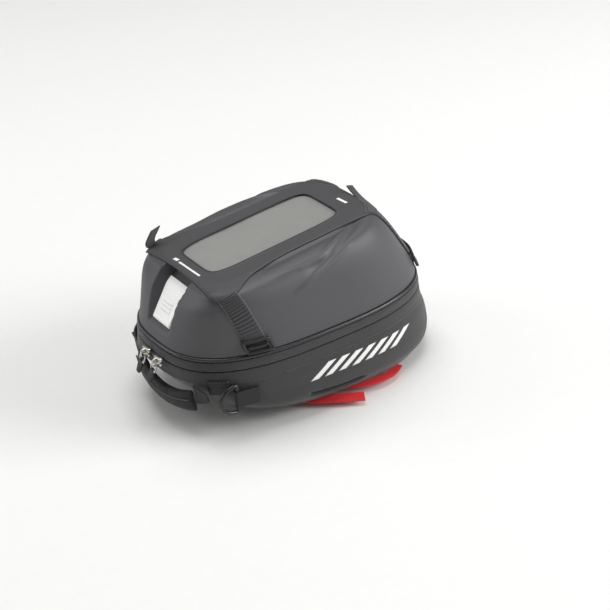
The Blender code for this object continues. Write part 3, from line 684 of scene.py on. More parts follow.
class TANKBAG_OT_zip(bpy.types.Operator):
    """Two fabric bands, the coil teeth between them and the hinge strip at the front"""
    bl_idname = "tankbag.zip"
    bl_label = "Zip"

    def execute(self, context):
        for name, node_name, top, bottom, lip, body in (
                ("lid_band", "lid_zip_band", -0.0024, ZIP_LEVEL + 0.0007, 0.0002, "lid"),
                ("body_band", "body_zip_band", ZIP_LEVEL - 0.0007, FOLD_LEVEL, 0.0006, "root")):
            section = band_section(top, bottom, 0.0022, lip)
            mesh = patch(320, 28, lambda u, v: section(TURN * u, v), (0.70, 0.030))
            bmesh.ops.remove_doubles(mesh, verts=mesh.verts, dist=0.000002)
            finish(name, self.closed(mesh), "cloth", body, (node_name,))
        sizes = bag().sizes
        first = radians(20)
        count = int(0.62 / sizes.tooth_pitch)
        for name, node_name, low, high, body in (
                ("lid_coil", "lid_zip_teeth", ZIP_LEVEL + 0.00008, ZIP_LEVEL + 0.0016, "lid"),
                ("body_coil", "body_zip_teeth", ZIP_LEVEL - 0.0016, ZIP_LEVEL - 0.00008, "root")):
            meshes = []
            for step in range(count):
                turn = first + (TURN - 2 * first) * (step + 0.5) / count
                here = band_point(turn, (low + high) / 2, -0.0014)
                way = (band_point(turn + 0.01, ZIP_LEVEL) - band_point(turn - 0.01, ZIP_LEVEL))
                way.z = 0
                way.normalize()
                mesh = bmesh.new()
                bmesh.ops.create_cube(mesh, size=1.0)
                bmesh.ops.bevel(mesh, geom=[e for e in mesh.edges if abs(e.verts[0].co.z
                                - e.verts[1].co.z) > 0.5], offset=0.2, segments=1,
                                affect="EDGES", profile=0.5, material=-1)
                turned = Matrix((way * 0.0013, way.cross(Vector((0, 0, 1))) * 0.0018,
                                 Vector((0, 0, high - low)))).transposed()
                bmesh.ops.transform(mesh, verts=mesh.verts,
                                    matrix=Matrix.Translation(here) @ turned.to_4x4())
                meshes.append(mesh)
            finish(name, outward(joined(meshes)), "coil", body,
                   (node_name,), smooth=False)

        def strip(u, v):
            turn = radians(-19 + 38 * u)
            return band_point(turn, -0.0205 + 0.0155 * v, -0.0026)
        mesh = patch(24, 24, strip, (0.06, 0.016))
        bmesh.ops.solidify(mesh, geom=mesh.faces[:], thickness=0.0009)
        hinge = finish("hinge_strip", outward(mesh), "cloth", None,
                       ("lid_hinge_strip",))
        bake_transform(hinge)
        return {"FINISHED"}

    @staticmethod
    def closed(mesh):
        """Join the section's first and last edge loops at the band's top."""
        loops = [e for e in mesh.edges if e.is_boundary]
        bmesh.ops.bridge_loops(mesh, edges=loops)
        return outward(mesh)


# ---- phone pocket ----
PANEL_EDGE = ((-0.1015, 0.0), (-0.1022, -0.024), (-0.1035, -0.047), (-0.1022, -0.0580),
              (-0.0985, -0.0622), (-0.0900, -0.0652), (-0.0810, -0.0655), (-0.0735, -0.0615),
              (-0.0610, -0.0555), (-0.0460, -0.0520), (-0.0280, -0.0497), (-0.0080, -0.0488),
              (0.0150, -0.0490), (0.0400, -0.0490), (0.0640, -0.0488), (0.0760, -0.0478),
              (0.0795, -0.0450), (0.0825, -0.0330), (0.0850, -0.0160), (0.0858, 0.0))


def panel_reach():
    """The panel's outline as turns and reaches from the window's middle."""
    half = [(x - PANEL_X, y) for x, y in PANEL_EDGE]
    outline = half + [(x, -y) for x, y in half[-2:0:-1]]
    count = len(outline)
    ring = outline[-2:] + outline + outline[:3]
    points = [spline(ring, 2 + step / 12) for step in range(count * 12)]
    return sorted((atan2(y / 0.05, x / 0.09), hypot(y / 0.05, x / 0.09))
                  for x, y in points)


def reach_at(table, turn):
    turn = (turn + pi) % (TURN) - pi
    low, high = 0, len(table) - 1
    if not table[0][0] < turn < table[-1][0]:
        return (table[0][1] + table[-1][1]) / 2
    while high - low > 1:
        mid = (low + high) // 2
        low, high = (mid, high) if table[mid][0] <= turn else (low, mid)
    (a, ra), (b, rb) = table[low], table[high]
    return ra + (rb - ra) * (turn - a) / (b - a)


def plain_lid():
    """The lid's outside without its recesses, for what is stretched over it."""
    def shape(u, v):
        turn = TURN * u
        if v < 0.9:
            return lid_base(turn, 6 * v / 0.9)
        return lid_base(turn, 6).lerp(place(PANEL_X, 0, PANEL_LEVEL - 0.001), (v - 0.9) * 10)
    mesh = weld(patch(160, 60, shape))
    tree = BVHTree.FromBMesh(mesh)
    mesh.free()
    return tree


def draped(tree, x, y, lift):
    """Point above the lid at x, y from the bag's middle, lifted off its surface."""
    spot, normal, _, _ = tree.ray_cast(place(x, y, 0.2), Vector((0, 0, -1)))
    if spot is None:
        spot, normal, _, _ = tree.find_nearest(place(x, y, 0.05))
    return spot + (normal if normal.z > 0 else -normal) * lift


class TANKBAG_OT_pocket(bpy.types.Operator):
    """Phone pocket: lined tray, clear window and the panel stretched over the lid"""
    bl_idname = "tankbag.pocket"
    bl_label = "Phone pocket"

    def execute(self, context):
        table, tree, tilt = panel_reach(), plain_lid(), panel_tilt()

        def panel(u, v):
            turn = TURN * u
            ix, iy = oval(turn, 0.0700, 0.0700, 0.0320, 7.0, 7.0)
            way = atan2(iy / 0.05, ix / 0.09)
            reach = reach_at(table, way)
            ox, oy = 0.09 * reach * cos(way), 0.05 * reach * sin(way)
            share = v ** 0.9
            x, y = PANEL_X + ix + (ox - ix) * share, iy + (oy - iy) * share
            lift = 0.0016 + 0.0006 * (1 - ease(0.0, 0.09, share)) - 0.0006 * ease(0.93, 1.0, share)
            hollow = exp(-((x + 0.104) / 0.006) ** 2) * exp(
                -((abs(y) - 0.0555) / 0.0045) ** 2)
            return draped(tree, x, y, lift + 0.0026 * hollow)
        mesh = lay_flat(weld(patch(360, 30, panel, (0.42, 0.03))), 0.0)
        area = sum(face.calc_area() for face in mesh.faces)
        piece = finish("pocket_cover", facing(mesh), "coated", "lid",
                       ("pocket_panel",), wall=0.0010)

        def film(u, v):
            turn = TURN * u
            x, y = oval(turn, 0.0722, 0.0722, 0.0342, 6.0, 6.0)
            sag = 0.0002 * sin(3.1 * v * x / 0.03) * v
            return tilt @ Vector((x * v, y * v, -0.0008 - 0.0003 * (1 - v) + sag))
        finish("window_film", facing(weld(patch(96, 24, film))), "film", "lid",
               ("pocket_window",), wall=0.0005)

        def tray(u, v):
            turn = TURN * u
            depth = 0.0018 + 0.0072 * ease(0.0, 0.30, v)
            grow = 1 - 0.015 * ease(0.0, 0.3, v) - 0.985 * ease(0.3, 1.0, v)
            x, y = oval(turn, 0.0725, 0.0725, 0.0345, 6.5, 6.5)
            return tilt @ Vector((x * grow, y * grow, -depth))
        finish("pocket_lining", facing(lay_flat(weld(patch(120, 30, tray, (0.4, 0.05))))),
               "lining", "lid", ("pocket_tray",), wall=0.0010)

        path = []
        for step in range(120):
            x, y = oval(TURN * step / 120, 0.0702, 0.0702, 0.0322, 7.0, 7.0)
            path.append(draped(tree, PANEL_X + x, y, 0.0017))
        finish("window_weld", swept(path, round_section(0.0007), 8, closed=True), "rubber",
               "lid")
        self.marks(tree)
        return {"FINISHED"}

    @staticmethod
    def marks(tree):
        """Plain printed bars before and behind the window."""
        for name, x, y0, y1, wide in (("pocket_bar_rear", -0.0945, 0.0120, -0.0230, 0.0020),
                                      ("pocket_bar_rear_short", -0.0945, 0.0210, 0.0150, 0.0034),
                                      ("pocket_bar_front", 0.0690, -0.0050, -0.0190, 0.0028)):
            def bar(u, v):
                lean = 0.0008 * (u - 0.5)
                return draped(tree, x + wide * (v - 0.5) + lean, y0 + (y1 - y0) * u, 0.00175)
            mesh = patch(16, 3, bar, (0.03, 0.002))
            finish(name, facing(mesh), "print", "lid", wall=0.00012)


# ---- straps on the lid ----
def lid_turn(t, x=None, y=None, side=-1):
    """Turn of the lid's ring at a given x on its rear half, or y on its front half."""
    _, _, _, rear, half, front_power, rear_power = spline(LID_RINGS, t)
    if x is not None:
        return turn_at(x, rear, rear_power, side)
    s = min(abs(y) / half, 1.0)
    along = (1 - s ** front_power) ** (1 / front_power)
    return copysign(atan2(s, along), side)


class TANKBAG_OT_straps(bpy.types.Operator):
    """Four elastic straps from the pocket's corners to the loops at the lid's edge"""
    bl_idname = "tankbag.straps"
    bl_label = "Corner straps"

    def execute(self, context):
        for side_name, side in SIDES:
            self.strap("rear_" + side_name, side, (4.35, 0.75))
            self.strap("front_" + side_name, side, (5.9, 0.0), (0.0225, 0.0480))
        self.tails()
        return {"FINISHED"}

    @staticmethod
    def strap(name, side, top, span=None):
        """top is the ring at the strap's top and how it rises across; span its y at the front."""
        low, length = 0.55, 0.062
        ribs = round(length / bag().sizes.rib_pitch)

        def at(u, t, lift):
            if span:
                turn = lid_turn(t, y=span[0] + (span[1] - span[0]) * u, side=side)
            else:
                level, slope = spline(LID_RINGS, t)[:2]
                rise = level - 0.075 * slope - 0.0087
                turn = lid_turn(t, x=-0.0843 + 0.0198 * u - rise * (0.335 + 0.03 * u), side=side)
            return lid_point(turn, t, lift)

        def ribbed(u, v):
            high = top[0] + top[1] * u
            t = high + (low - high) * v
            rib = 0.5 - 0.5 * cos(TURN * ribs * v)
            edge = ease(0.0, 0.06, u) * ease(1.0, 0.94, u)
            tucked = 1 - ease(0.02, 0.09, v)
            return at(u, t, 0.0016 + 0.0008 * rib * edge - 0.0005 * (1 - edge) - 0.0004 * tucked)
        mesh = patch(14, ribs * 7, ribbed, (0.0250, length))
        finish("strap_elastic_" + name, facing(mesh, centre=LID_CENTRE), "elastic", "lid",
               ("strap_" + name,), wall=0.0012)

        def tab(u, v):
            t = 0.95 - 0.92 * v
            lift = 0.0010 + 0.0022 * (1 - ease(0.0, 0.35, v))
            return at(0.06 + 0.88 * u, t, lift)
        mesh = facing(patch(10, 14, tab, (0.022, 0.012)), centre=LID_CENTRE)
        finish("strap_tab_" + name, mesh, "webbing", "lid", wall=0.0011)
        corners = [at(u, t, lift / 10000) for u, t, lift in (
            (-0.075, 0.42, 34), (-0.075, 1.08, 34), (0.0, 1.22, 36), (0.5, 1.20, 38),
            (1.0, 1.22, 36), (1.075, 1.08, 34), (1.075, 0.42, 34), (1.0, 0.33, 36),
            (0.5, 0.32, 38), (0.0, 0.33, 36))]
        ring = corners + corners[:3]
        path = [Vector(spline([ring[-4]] + ring, 1 + k / 6)) for k in range(60)]
        bar = [at(0.02 + 0.96 * k / 8, 0.80, 0.0030) for k in range(9)]
        mesh = joined([swept(path, round_section(0.0014), 10, closed=True),
                       swept(bar, round_section(0.0012), 10)])
        finish("strap_ring_" + name, mesh, "nylon", "lid",
               ("strap_loop_" + name,))

    @staticmethod
    def tails():
        """Free strap ends that stand up at the near front and far rear corners."""
        front = curve_through([(0.0852, -0.0400, 0.0740), (0.0862, -0.0280, 0.0755),
                               (0.0868, -0.0190, 0.0765), (0.0868, -0.0120, 0.0785),
                               (0.0864, -0.0060, 0.0815), (0.0860, -0.0010, 0.0846)], 24)
        rear = curve_through([(-0.0930, 0.0635, 0.0560), (-0.0972, 0.0622, 0.0600),
                              (-0.0978, 0.0608, 0.0650), (-0.0955, 0.0594, 0.0705),
                              (-0.0922, 0.0582, 0.0765)], 24)
        for name, path, wide, lean in (("front_right", front, 0.0070, Vector((1, 0, -0.25))),
                                       ("rear_left", rear, 0.0130, Vector((0.92, 0.38, 0)))):
            path = [place(*p) for p in path]
            lean = lean.normalized()

            def shape(u, v):
                step = round(v * (len(path) - 1))
                return path[step] + lean * wide * (u - 0.5)
            mesh = patch(8, len(path) - 1, shape, (wide, 0.04))
            finish("strap_tail_" + name, facing(mesh), "elastic", "lid",
                   wall=0.0014, rounded=0.0003)


# ---- badge ----
class TANKBAG_OT_badge(bpy.types.Operator):
    """Bent badge with a chamfered rim and plain raised bars, tucked under the pocket's edge"""
    bl_idname = "tankbag.badge"
    bl_label = "Badge"

    def execute(self, context):
        def face(level_share):
            t = level_share * (len(BADGE_LINE) - 1)
            return spline(BADGE_LINE, t)

        def shape(u, v):
            x, level, half = face(v)
            before, after = face(max(v - 0.02, 0)), face(min(v + 0.02, 1))
            up = Vector((after[0] - before[0], 0, after[1] - before[1])).normalized()
            out = Vector((-up.z, 0, up.x))
            across = 2 * u - 1
            rim = ease(1.0, 0.90, abs(across)) * ease(0.0, 0.05, v)
            crown = 0.0006 * (1 - across * across)
            frame_line = 0.0004 * (ease(0.80, 0.77, abs(across)) * ease(0.07, 0.09, v))
            bar = 0.0
            for middle in (0.26, 0.33, 0.40):
                bar = max(bar, ease(0.028, 0.018, abs(v - middle)) * ease(0.50, 0.46, abs(across)))
            inward = -0.0012 * (1 - rim)
            return place(x, across * half, level) + out * (inward + crown - frame_line
                                                           + 0.0007 * bar)
        mesh = facing(patch(72, 110, shape, (0.036, 0.045)), (-1, 0, 0))
        finish("badge_moulding", mesh, "badge", "lid", ("badge_plate",),
               wall=0.0016)
        return {"FINISHED"}


# ---- body ----
class TANKBAG_OT_body(bpy.types.Operator):
    """Woven tub with a sewn hem, the vent slit over each side welt and the flat floor"""
    bl_idname = "tankbag.body"
    bl_label = "Body"

    def execute(self, context):
        wall, hem, under = 0.72, 0.78, 0.88         # where the rows leave each part

        def shape(u, v):
            turn = TURN * (u + 0.125)
            if v <= wall:
                share = v / wall
                point = body_point(turn, share)
                along = (point.x - BAG_X) / SLIT_HALF
                if abs(along) < 1:
                    gape = 1 - along * along
                    down = share - slit_line(along)
                    dip = -0.0085 * gape ** 0.5 * exp(-(down / 0.036) ** 4)
                    lip = 0.0012 * gape * exp(-((down - 0.060) / 0.030) ** 2)
                    point = body_point(turn, share, dip + lip)
                return point
            rim, inward = body_point(turn, 1.0), body_point(turn, 1.0, -0.0035)
            if v <= hem:
                return rim.lerp(inward, (v - wall) / (hem - wall))
            x, y = oval(turn, *(reach - 0.0075 for reach in BODY_RINGS[-1]))
            foot = Vector((BAG_X + x, y, FLOOR_Z))
            if v <= under:
                return inward.lerp(foot, (v - hem) / (under - hem))
            return foot.lerp(Vector((BAG_X, 0, FLOOR_Z)), (v - under) / (1 - under))
        mesh = facing(lay_flat(weld(patch(360, 100, shape, (0.74, 0.080)))),
                      centre=place(0, 0, -0.045))
        finish("body_cloth", mesh, "cloth", "root", ("body_shell",),
               wall=bag().sizes.body_wall, lining="lining")
        for side_name, side in SIDES:
            def welt(turn, share):
                thin = sin(pi * min(max(share, 0.0), 1.0)) ** 0.5 + 0.02
                return 0.0012 * thin * cos(turn), 0.0012 * thin * sin(turn)
            path = []
            for step in range(41):
                along = 2 * step / 40 - 1
                reach = 0.110 if along < 0 else 0.143
                turn = turn_at(SLIT_HALF * along, reach, side=side)
                path.append(body_point(turn, slit_line(along) + 0.058, 0.0004))
            finish("slit_welt_" + side_name, swept(path, welt, 12, size=(0.011, 0.060)),
                   "cloth", "root", ("side_welt_" + side_name,))
        return {"FINISHED"}


class TANKBAG_OT_print(bpy.types.Operator):
    """Row of plain slanted bars printed on each side of the body"""
    bl_idname = "tankbag.print"
    bl_label = "Side print"

    def execute(self, context):
        for side_name, side in SIDES:
            meshes = []
            for step in range(7):
                start = -0.0300 + 0.0152 * step

                def bar(u, v):
                    x = start + 0.0085 * u + 0.0210 * v
                    level = -0.0430 + 0.0130 * v - 0.030 * (start + 0.0085 * u)
                    top = FOLD_LEVEL - 0.0003
                    share = (level - top) / (HEM_MID + HEM_SLOPE * x - top)
                    front, rear, _ = spline(BODY_RINGS, share * 5)
                    turn = turn_at(x, front if x > 0 else rear, side=side)
                    return body_point(turn, share, 0.00025)
                meshes.append(facing(patch(5, 8, bar, (0.006, 0.013)), (0, side, 0)))
            finish("side_bars_" + side_name, joined(meshes), "print", "root", wall=0.00012)
        return {"FINISHED"}


# ---- handle ----
GRIP_R, GRIP_HALF, GRIP_LEVEL = 0.145, radians(20.5), -0.0490


def grip_spot(angle, out=0.0, depth=0.0):
    y = (GRIP_R + out) * sin(angle)
    level = GRIP_LEVEL + GRIP_R - (GRIP_R + out) * cos(angle)
    return place(-0.1350 + 0.0075 * (angle / GRIP_HALF) ** 2 + depth, y, level)


def swell(piece, pressure, cap, voxel):
    """Blow a pad up a little as cloth, hold each point near where it began, and smooth it."""
    step = piece.modifiers.new("remesh", "REMESH")
    step.mode = "VOXEL"
    step.voxel_size = voxel
    bake(piece)
    start = [vertex.co.copy() for vertex in piece.data.vertices]
    cloth = piece.modifiers.new("cloth", "CLOTH")
    cloth.settings.use_pressure = True
    cloth.settings.uniform_pressure_force = pressure
    cloth.settings.quality = 5
    cloth.settings.mass = 0.2
    cloth.settings.effector_weights.gravity = 0.0
    scene = bpy.context.scene
    scene.frame_start, scene.frame_end = 1, 20
    for number in range(1, 21):
        scene.frame_set(number)
    data = bpy.data.meshes.new_from_object(
        piece.evaluated_get(bpy.context.evaluated_depsgraph_get()))
    piece.modifiers.clear()
    for vertex, first in zip(data.vertices, start):
        moved = vertex.co - first
        if moved.length > cap:
            vertex.co = first + moved.normalized() * cap
    piece.data = data
    scene.frame_set(1)
    for face in data.polygons:
        face.use_smooth = True
    step = piece.modifiers.new("smooth", "SUBSURF")
    step.levels = step.render_levels = 1
    return bake(piece)


class TANKBAG_OT_handle(bpy.types.Operator):
    """Padded carrying grip on flat webbing ends, and the sewn tabs that hold them"""
    bl_idname = "tankbag.handle"
    bl_label = "Carrying handle"

    def execute(self, context):
        def section(u, v):
            turn = TURN * u
            angle = GRIP_HALF * (2 * v - 1)
            pinch = 0.62 + 0.38 * ease(0.0, 0.10, v) * ease(1.0, 0.90, v)
            across = 0.0020 + 0.0102 * blunt(cos(turn), 0.75)
            depth = 0.0036 * pinch * blunt(sin(turn), 0.8)
            crease_line = 0.0004 * exp(-((v - 0.30) / 0.015) ** 2) + 0.0004 * exp(
                -((v - 0.72) / 0.015) ** 2)
            return grip_spot(angle, across, depth * (1 - crease_line / 0.004))
        mesh = weld(patch(28, 80, section, (0.05, 0.10)))
        bmesh.ops.holes_fill(mesh, edges=mesh.edges, sides=0)
        grip = finish("grip_sleeve", outward(mesh), "neoprene", "handle",
                      ("handle_grip",))
        swell(grip, bag().sizes.grip_plump, 0.0009, 0.0016)
        seam = [grip_spot(GRIP_HALF * (2 * k / 40 - 1) * 0.96, 0.0, -0.0046) for k in range(41)]
        finish("grip_seam", swept(seam, round_section(0.0006), 6), "thread", "handle")
        for side_name, side in SIDES:
            self.end(side_name, side)
        return {"FINISHED"}

    @staticmethod
    def end(side_name, side):
        start, top = grip_spot(side * (GRIP_HALF - 0.030)), place(-0.1262, side * 0.0610, -0.0262)
        middle = grip_spot(side * (GRIP_HALF + 0.060))
        path = curve_through([tuple(start), tuple(middle), tuple(middle.lerp(top, 0.6)),
                              tuple(top)], 20)
        along = (top - middle).normalized()
        out = Vector((-1.0, 0.25 * side, 0.0))
        out = (out - along * out.dot(along)).normalized()
        across = along.cross(out)

        def webbing(u, v):
            fold = 0.0002 * sin(9 * v)
            return path[round(v * 20)] + across * 0.0170 * (u - 0.5) + out * (0.0008 + fold)
        mesh = facing(patch(10, 20, webbing, (0.017, 0.05)), out)
        finish("grip_end_" + side_name, mesh, "webbing", "handle",
               ("handle_strap_" + side_name,), wall=0.0017)
        turn = turn_at(-0.1105, LOOP_A + 0.0025, side=side)

        def tab(u, v):
            level = -0.0190 - 0.0145 * v
            return band_point(turn + 0.075 * (2 * u - 1), level, 0.0022 - 0.0016 * ease(0.4, 1, v))
        mesh = facing(patch(10, 10, tab, (0.018, 0.012)), (-1, 0, 0))
        finish("grip_anchor_" + side_name, mesh, "webbing", "root",
               ("handle_anchor_" + side_name,), wall=0.0014)
        spots = []
        for row in (-0.0202, -0.0225):
            for step in range(6):
                at = turn + 0.065 * (2 * step / 5 - 1)
                here = band_point(at, row, 0.0023)
                spots.append((here, band_point(at + 0.01, row, 0.0023) - here,
                              Vector((cos(at), sin(at), 0))))
        finish("grip_tack_" + side_name, stitch_row(spots), "thread", "root")


# ---- D-rings ----
class TANKBAG_OT_rings(bpy.types.Operator):
    """Moulded D-rings at the rear corners and the webbing tabs that hold them"""
    bl_idname = "tankbag.rings"
    bl_label = "D-rings"

    def execute(self, context):
        bar_x, bar_y, bar_level, bar_half = -0.0990, 0.0788, -0.0370, 0.0115
        bow_reach, bow_half = 0.0178, 0.0138
        for side_name, side in SIDES:
            bar = place(bar_x, side * bar_y, bar_level)
            path = [bar + Vector((0, 0, bar_half * (1 - k / 4))) for k in range(9)]
            path += [bar + Vector((-bow_reach * sin(a), 0, -bow_half * cos(a)))
                     for a in (pi * (k + 0.5) / 24 for k in range(24))]

            def section(turn, share):
                return 0.0020 * cos(turn), 0.0019 * sin(turn)
            finish("d_ring_moulding_" + side_name, swept(path, section, 14, closed=True),
                   "nylon", "d_ring_" + side_name,
                   ("d_ring_" + side_name,))

            def tab(u, v):
                if v < 0.22:                        # round the bar
                    wrap = pi * v / 0.22
                    x, out = bar_x - 0.0030 * sin(wrap), bar_y - 0.0030 * cos(wrap)
                else:                               # along the body
                    s = (v - 0.22) / 0.78
                    x, out = bar_x + 0.0190 * s, bar_y + 0.0030 + 0.0040 * s
                return place(x, side * out, bar_level + 0.0080 - 0.0160 * u)
            mesh = facing(patch(10, 30, tab, (0.016, 0.03)), (0, side, 0))
            finish("d_ring_web_" + side_name, mesh, "webbing", "root",
                   ("d_ring_tab_" + side_name,), wall=0.0011)
        return {"FINISHED"}


# ---- zip sliders and pulls ----
class TANKBAG_OT_sliders(bpy.types.Operator):
    """Plated zip sliders with wire pullers and soft moulded pulls"""
    bl_idname = "tankbag.sliders"
    bl_label = "Zip sliders"

    def execute(self, context):
        for side_name, side in SIDES:
            middle = place(-LOOP_A - 0.0062, side * 0.0105 - 0.006, ZIP_LEVEL)

            def near(x, y, z):
                return middle + Vector((x, y, z))
            parts = [block(near(-0.0020, -0.0058, 0.0006), near(0.0018, 0.0058, 0.0042), 0.0010, 3),
                     block(near(-0.0020, -0.0048, -0.0042), near(0.0018, 0.0048, -0.0008),
                           0.0010, 3),
                     block(near(-0.0010, -0.0030, -0.0012), near(0.0014, 0.0030, 0.0012),
                           0.0004, 1)]
            hinge = near(-0.0040, 0, -0.0010)
            bridge = curve_through([near(-0.0018, 0, 0.0034), near(-0.0060, 0, 0.0026),
                                    near(-0.0068, 0, -0.0010), near(-0.0058, 0, -0.0036),
                                    near(-0.0016, 0, -0.0040)], 16)

            def strap(turn, share):
                return 0.0010 * cos(turn), 0.0006 * sin(turn)
            parts.append(swept(bridge, strap, 10))
            finish("zip_slider_plated_" + side_name, joined(parts), "nickel",
                   "zip_slider_" + side_name, ("zip_slider_" + side_name,), sharp=50)
            lean = Matrix.Translation(hinge) @ Matrix.Rotation(radians(32), 4, "X")
            wire = [(0, -0.0034, -0.0009), (0, -0.0027, 0.0), (0, 0.0027, 0.0),
                    (0, 0.0034, -0.0009), (0, 0.0034, -0.0105), (0, 0.0026, -0.0120),
                    (0, -0.0026, -0.0120), (0, -0.0034, -0.0105)]
            ring = wire + wire[:3]
            path = [lean @ Vector(spline([wire[-1]] + ring, 1 + k / 5)) for k in range(40)]
            body = "zip_pull_" + side_name
            finish("zip_wire_" + side_name, swept(path, round_section(0.0009), 10, closed=True),
                   "nickel", body, ("zip_puller_" + side_name,))

            def pull(u, v):
                turn = TURN * u
                swell_out = 0.78 + 0.22 * sin(pi * min(v * 1.25, 1.0))
                rib = 0.00022 * cos(TURN * 9 * v) if 0.2 < v < 0.9 else 0.0
                end = ease(0.0, 0.05, v) * ease(1.0, 0.95, v) * 0.5 + 0.5
                wide = (0.0032 * swell_out) * end
                thick = (0.0015 + rib) * end
                return lean @ Vector((
                    thick * blunt(sin(turn), 0.7),
                    wide * blunt(cos(turn), 0.6),
                    -0.0108 - 0.0222 * v))
            mesh = weld(patch(24, 60, pull, (0.012, 0.022)))
            bmesh.ops.holes_fill(mesh, edges=mesh.edges, sides=0)
            finish("zip_pull_moulding_" + side_name, outward(mesh), "rubber", body,
                   ("zip_tag_" + side_name,))
        return {"FINISHED"}


# ---- lock and red pull ----
class TANKBAG_OT_release(bpy.types.Operator):
    """Red webbing that pulls the lock's slider, with its free tail"""
    bl_idname = "tankbag.release"
    bl_label = "Release webbing"

    def execute(self, context):
        tail = ((-0.0290, -0.0560, 0.0058), (-0.0245, -0.0655, 0.0058), (-0.0160, -0.0760, 0.0057),
                (0.0010, -0.0883, 0.0054), (0.0225, -0.1010, 0.0050))
        front = ((0.0060, -0.0526, 0.0075), (0.0070, -0.0640, 0.0075), (0.0200, -0.0800, 0.0073),
                 (0.0400, -0.0885, 0.0069), (0.0620, -0.0880, 0.0063), (0.0780, -0.0790, 0.0057))
        for name, node_name, route, wide, thick in (
                ("release_tail_web", "release_strap_tail", tail, 0.014, 0.0014),
                ("release_front_web", "release_strap_front", front, 0.010, 0.0012)):
            path = curve_through(route, 60)

            def web(u, v):
                step = round(v * 60)
                ahead, behind = path[min(step + 1, 60)], path[max(step - 1, 0)]
                along = (ahead - behind).normalized()
                across = Vector((along.y, -along.x, 0)).normalized()
                edge = 0.0002 * (1 - (2 * u - 1) ** 2)
                return path[step] + across * wide * (u - 0.5) + Vector((0, 0, edge + thick / 2))
            mesh = patch(12, 60, web, (wide, 0.07))
            finish(name, facing(mesh), "red", "release", (node_name,),
                   wall=thick, rounded=0.0003)
        return {"FINISHED"}


class TANKBAG_OT_lock(bpy.types.Operator):
    """Springs in the lock, and finishes for the lock's housing, jaws, plates and screws"""
    bl_idname = "tankbag.lock"
    bl_label = "Lock"

    def execute(self, context):
        for name, direction in (("front", 1), ("rear", -1)):
            low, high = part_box("jaw_spring_" + name)
            jaw_low, jaw_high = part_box("lock_jaw_" + name)
            near = jaw_high.x + 0.0004 if direction > 0 else jaw_low.x - 0.0004
            far = high.x - 0.0004 if direction > 0 else low.x + 0.0004
            count, turns = 96, 5
            path = [Vector((near + (far - near) * k / count,
                            0.0022 * cos(TURN * turns * k / count),
                            0.0078 + 0.0022 * sin(TURN * turns * k / count)))
                    for k in range(count + 1)]
            coil = finish("lock_coil_" + name, swept(path, round_section(0.00035), 8),
                          "steel", "root", ("jaw_spring_" + name,))
            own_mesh(coil)
        kept = {"lock_housing": "abs", "lock_cover": "abs", "lock_jaw_front": "nickel",
                "lock_jaw_rear": "nickel", "lock_seat_pad": "rubber", "release_slider": "nylon",
                "counter_plate": "steel", "base_board": "board", "base_screw_1": "steel",
                "base_screw_2": "steel", "base_screw_3": "steel", "base_screw_4": "steel"}
        for name, key in kept.items():
            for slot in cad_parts[name].material_slots:
                slot.material = surface(key)
        return {"FINISHED"}


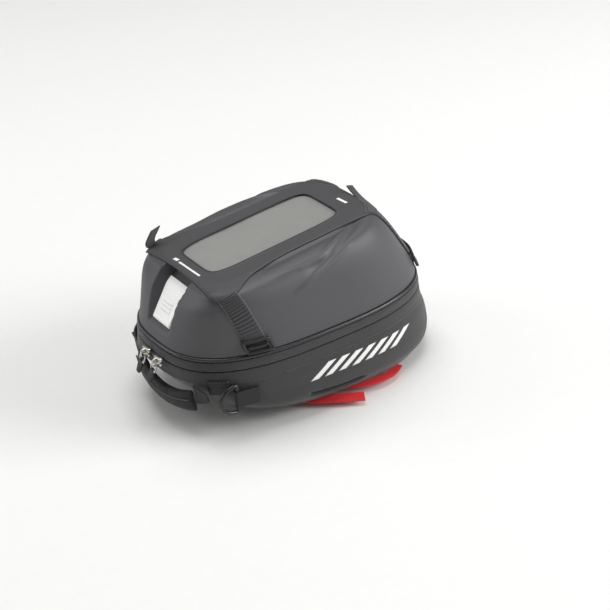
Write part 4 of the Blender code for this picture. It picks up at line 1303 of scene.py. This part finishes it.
# ---- stage ----
class TANKBAG_OT_stage(bpy.types.Operator):
    """Pale floor, soft studio lights and the camera"""
    bl_idname = "tankbag.stage"
    bl_label = "Stage"

    def execute(self, context):
        mesh = bmesh.new()
        bmesh.ops.create_circle(mesh, cap_ends=True, segments=64, radius=6.0)
        data = bpy.data.meshes.new("floor")
        mesh.to_mesh(data)
        mesh.free()
        data.materials.append(surface("floor"))
        floor = bpy.data.objects.new("floor", data)
        floor.location.z = CAD_BOX[0][2] - 0.0005
        context.scene.collection.objects.link(floor)
        for name, where, size, power in (("overhead", (0.2, 0.5, 3.0), 2.2, 62.0),
                                         ("right_softbox", (1.7, -1.5, 1.1), 1.3, 46.0),
                                         ("left_softbox", (-1.7, 1.3, 1.0), 1.2, 13.0)):
            lamp = bpy.data.lights.new(name, "AREA")
            lamp.size, lamp.energy = size, power
            light = bpy.data.objects.new(name, lamp)
            light.location = where
            aim = place(0, 0, 0) - Vector(where)
            light.rotation_euler = aim.to_track_quat("-Z", "Y").to_euler()
            context.scene.collection.objects.link(light)
        world = bpy.data.worlds.new("studio")
        world.use_nodes = True
        world.node_tree.nodes["Background"].inputs["Color"].default_value = (1, 1, 1, 1)
        world.node_tree.nodes["Background"].inputs["Strength"].default_value = 0.24
        context.scene.world = world
        context.scene.view_settings.view_transform = "Standard"
        self.camera(context)
        return {"FINISHED"}

    @staticmethod
    def camera(context):
        azimuth, elevation, roll = (radians(a) for a in (-31.343, 29.441, -4.505))
        back = Vector((cos(elevation) * sin(azimuth),
                       -cos(elevation) * cos(azimuth), sin(elevation)))
        right = Vector((0, 0, 1)).cross(back).normalized()
        up = back.cross(right)
        level = Matrix((right, up, back)).transposed()
        lens = bpy.data.cameras.new("camera")
        lens.lens, lens.sensor_width = 81.25, 36.0
        lens.shift_x, lens.shift_y = 0.0425, -0.0213
        eye = bpy.data.objects.new("camera", lens)
        eye.matrix_world = (Matrix.Translation(place(0, 0, 0) + back * 1.3)
                            @ (level @ Matrix.Rotation(roll, 3, "Z")).to_4x4())
        context.scene.collection.objects.link(eye)
        context.scene.camera = eye


class TANKBAG_PT_sidebar(bpy.types.Panel):
    """Lists the bag's sizes, colours and pieces"""
    bl_idname = "TANKBAG_PT_sidebar"
    bl_label = "Tank bag"
    bl_space_type = "VIEW_3D"
    bl_region_type = "UI"
    bl_category = "Tank bag"

    def draw(self, context):
        for group in (context.scene.tank_bag.sizes, context.scene.tank_bag.colours):
            box = self.layout.box()
            for key in group.__annotations__:
                box.prop(group, key)
        for operator in OPERATORS:
            self.layout.operator(operator.bl_idname)


OPERATORS = (TANKBAG_OT_stage, TANKBAG_OT_lid, TANKBAG_OT_piping, TANKBAG_OT_zip,
             TANKBAG_OT_pocket, TANKBAG_OT_straps, TANKBAG_OT_badge, TANKBAG_OT_body,
             TANKBAG_OT_print, TANKBAG_OT_handle, TANKBAG_OT_rings, TANKBAG_OT_sliders,
             TANKBAG_OT_release, TANKBAG_OT_lock)
CLASSES = (TankBagSizes, TankBagColours, TankBagSettings, *OPERATORS, TANKBAG_PT_sidebar)


def register():
    for kind in CLASSES:
        bpy.utils.register_class(kind)
    bpy.types.Scene.tank_bag = PointerProperty(type=TankBagSettings)


def unregister():
    del bpy.types.Scene.tank_bag
    for kind in reversed(CLASSES):
        bpy.utils.unregister_class(kind)


def main():
    register()
    for operator in OPERATORS:
        group, name = operator.bl_idname.split(".")
        getattr(getattr(bpy.ops, group), name)()


if __name__ == "__main__":
    main()
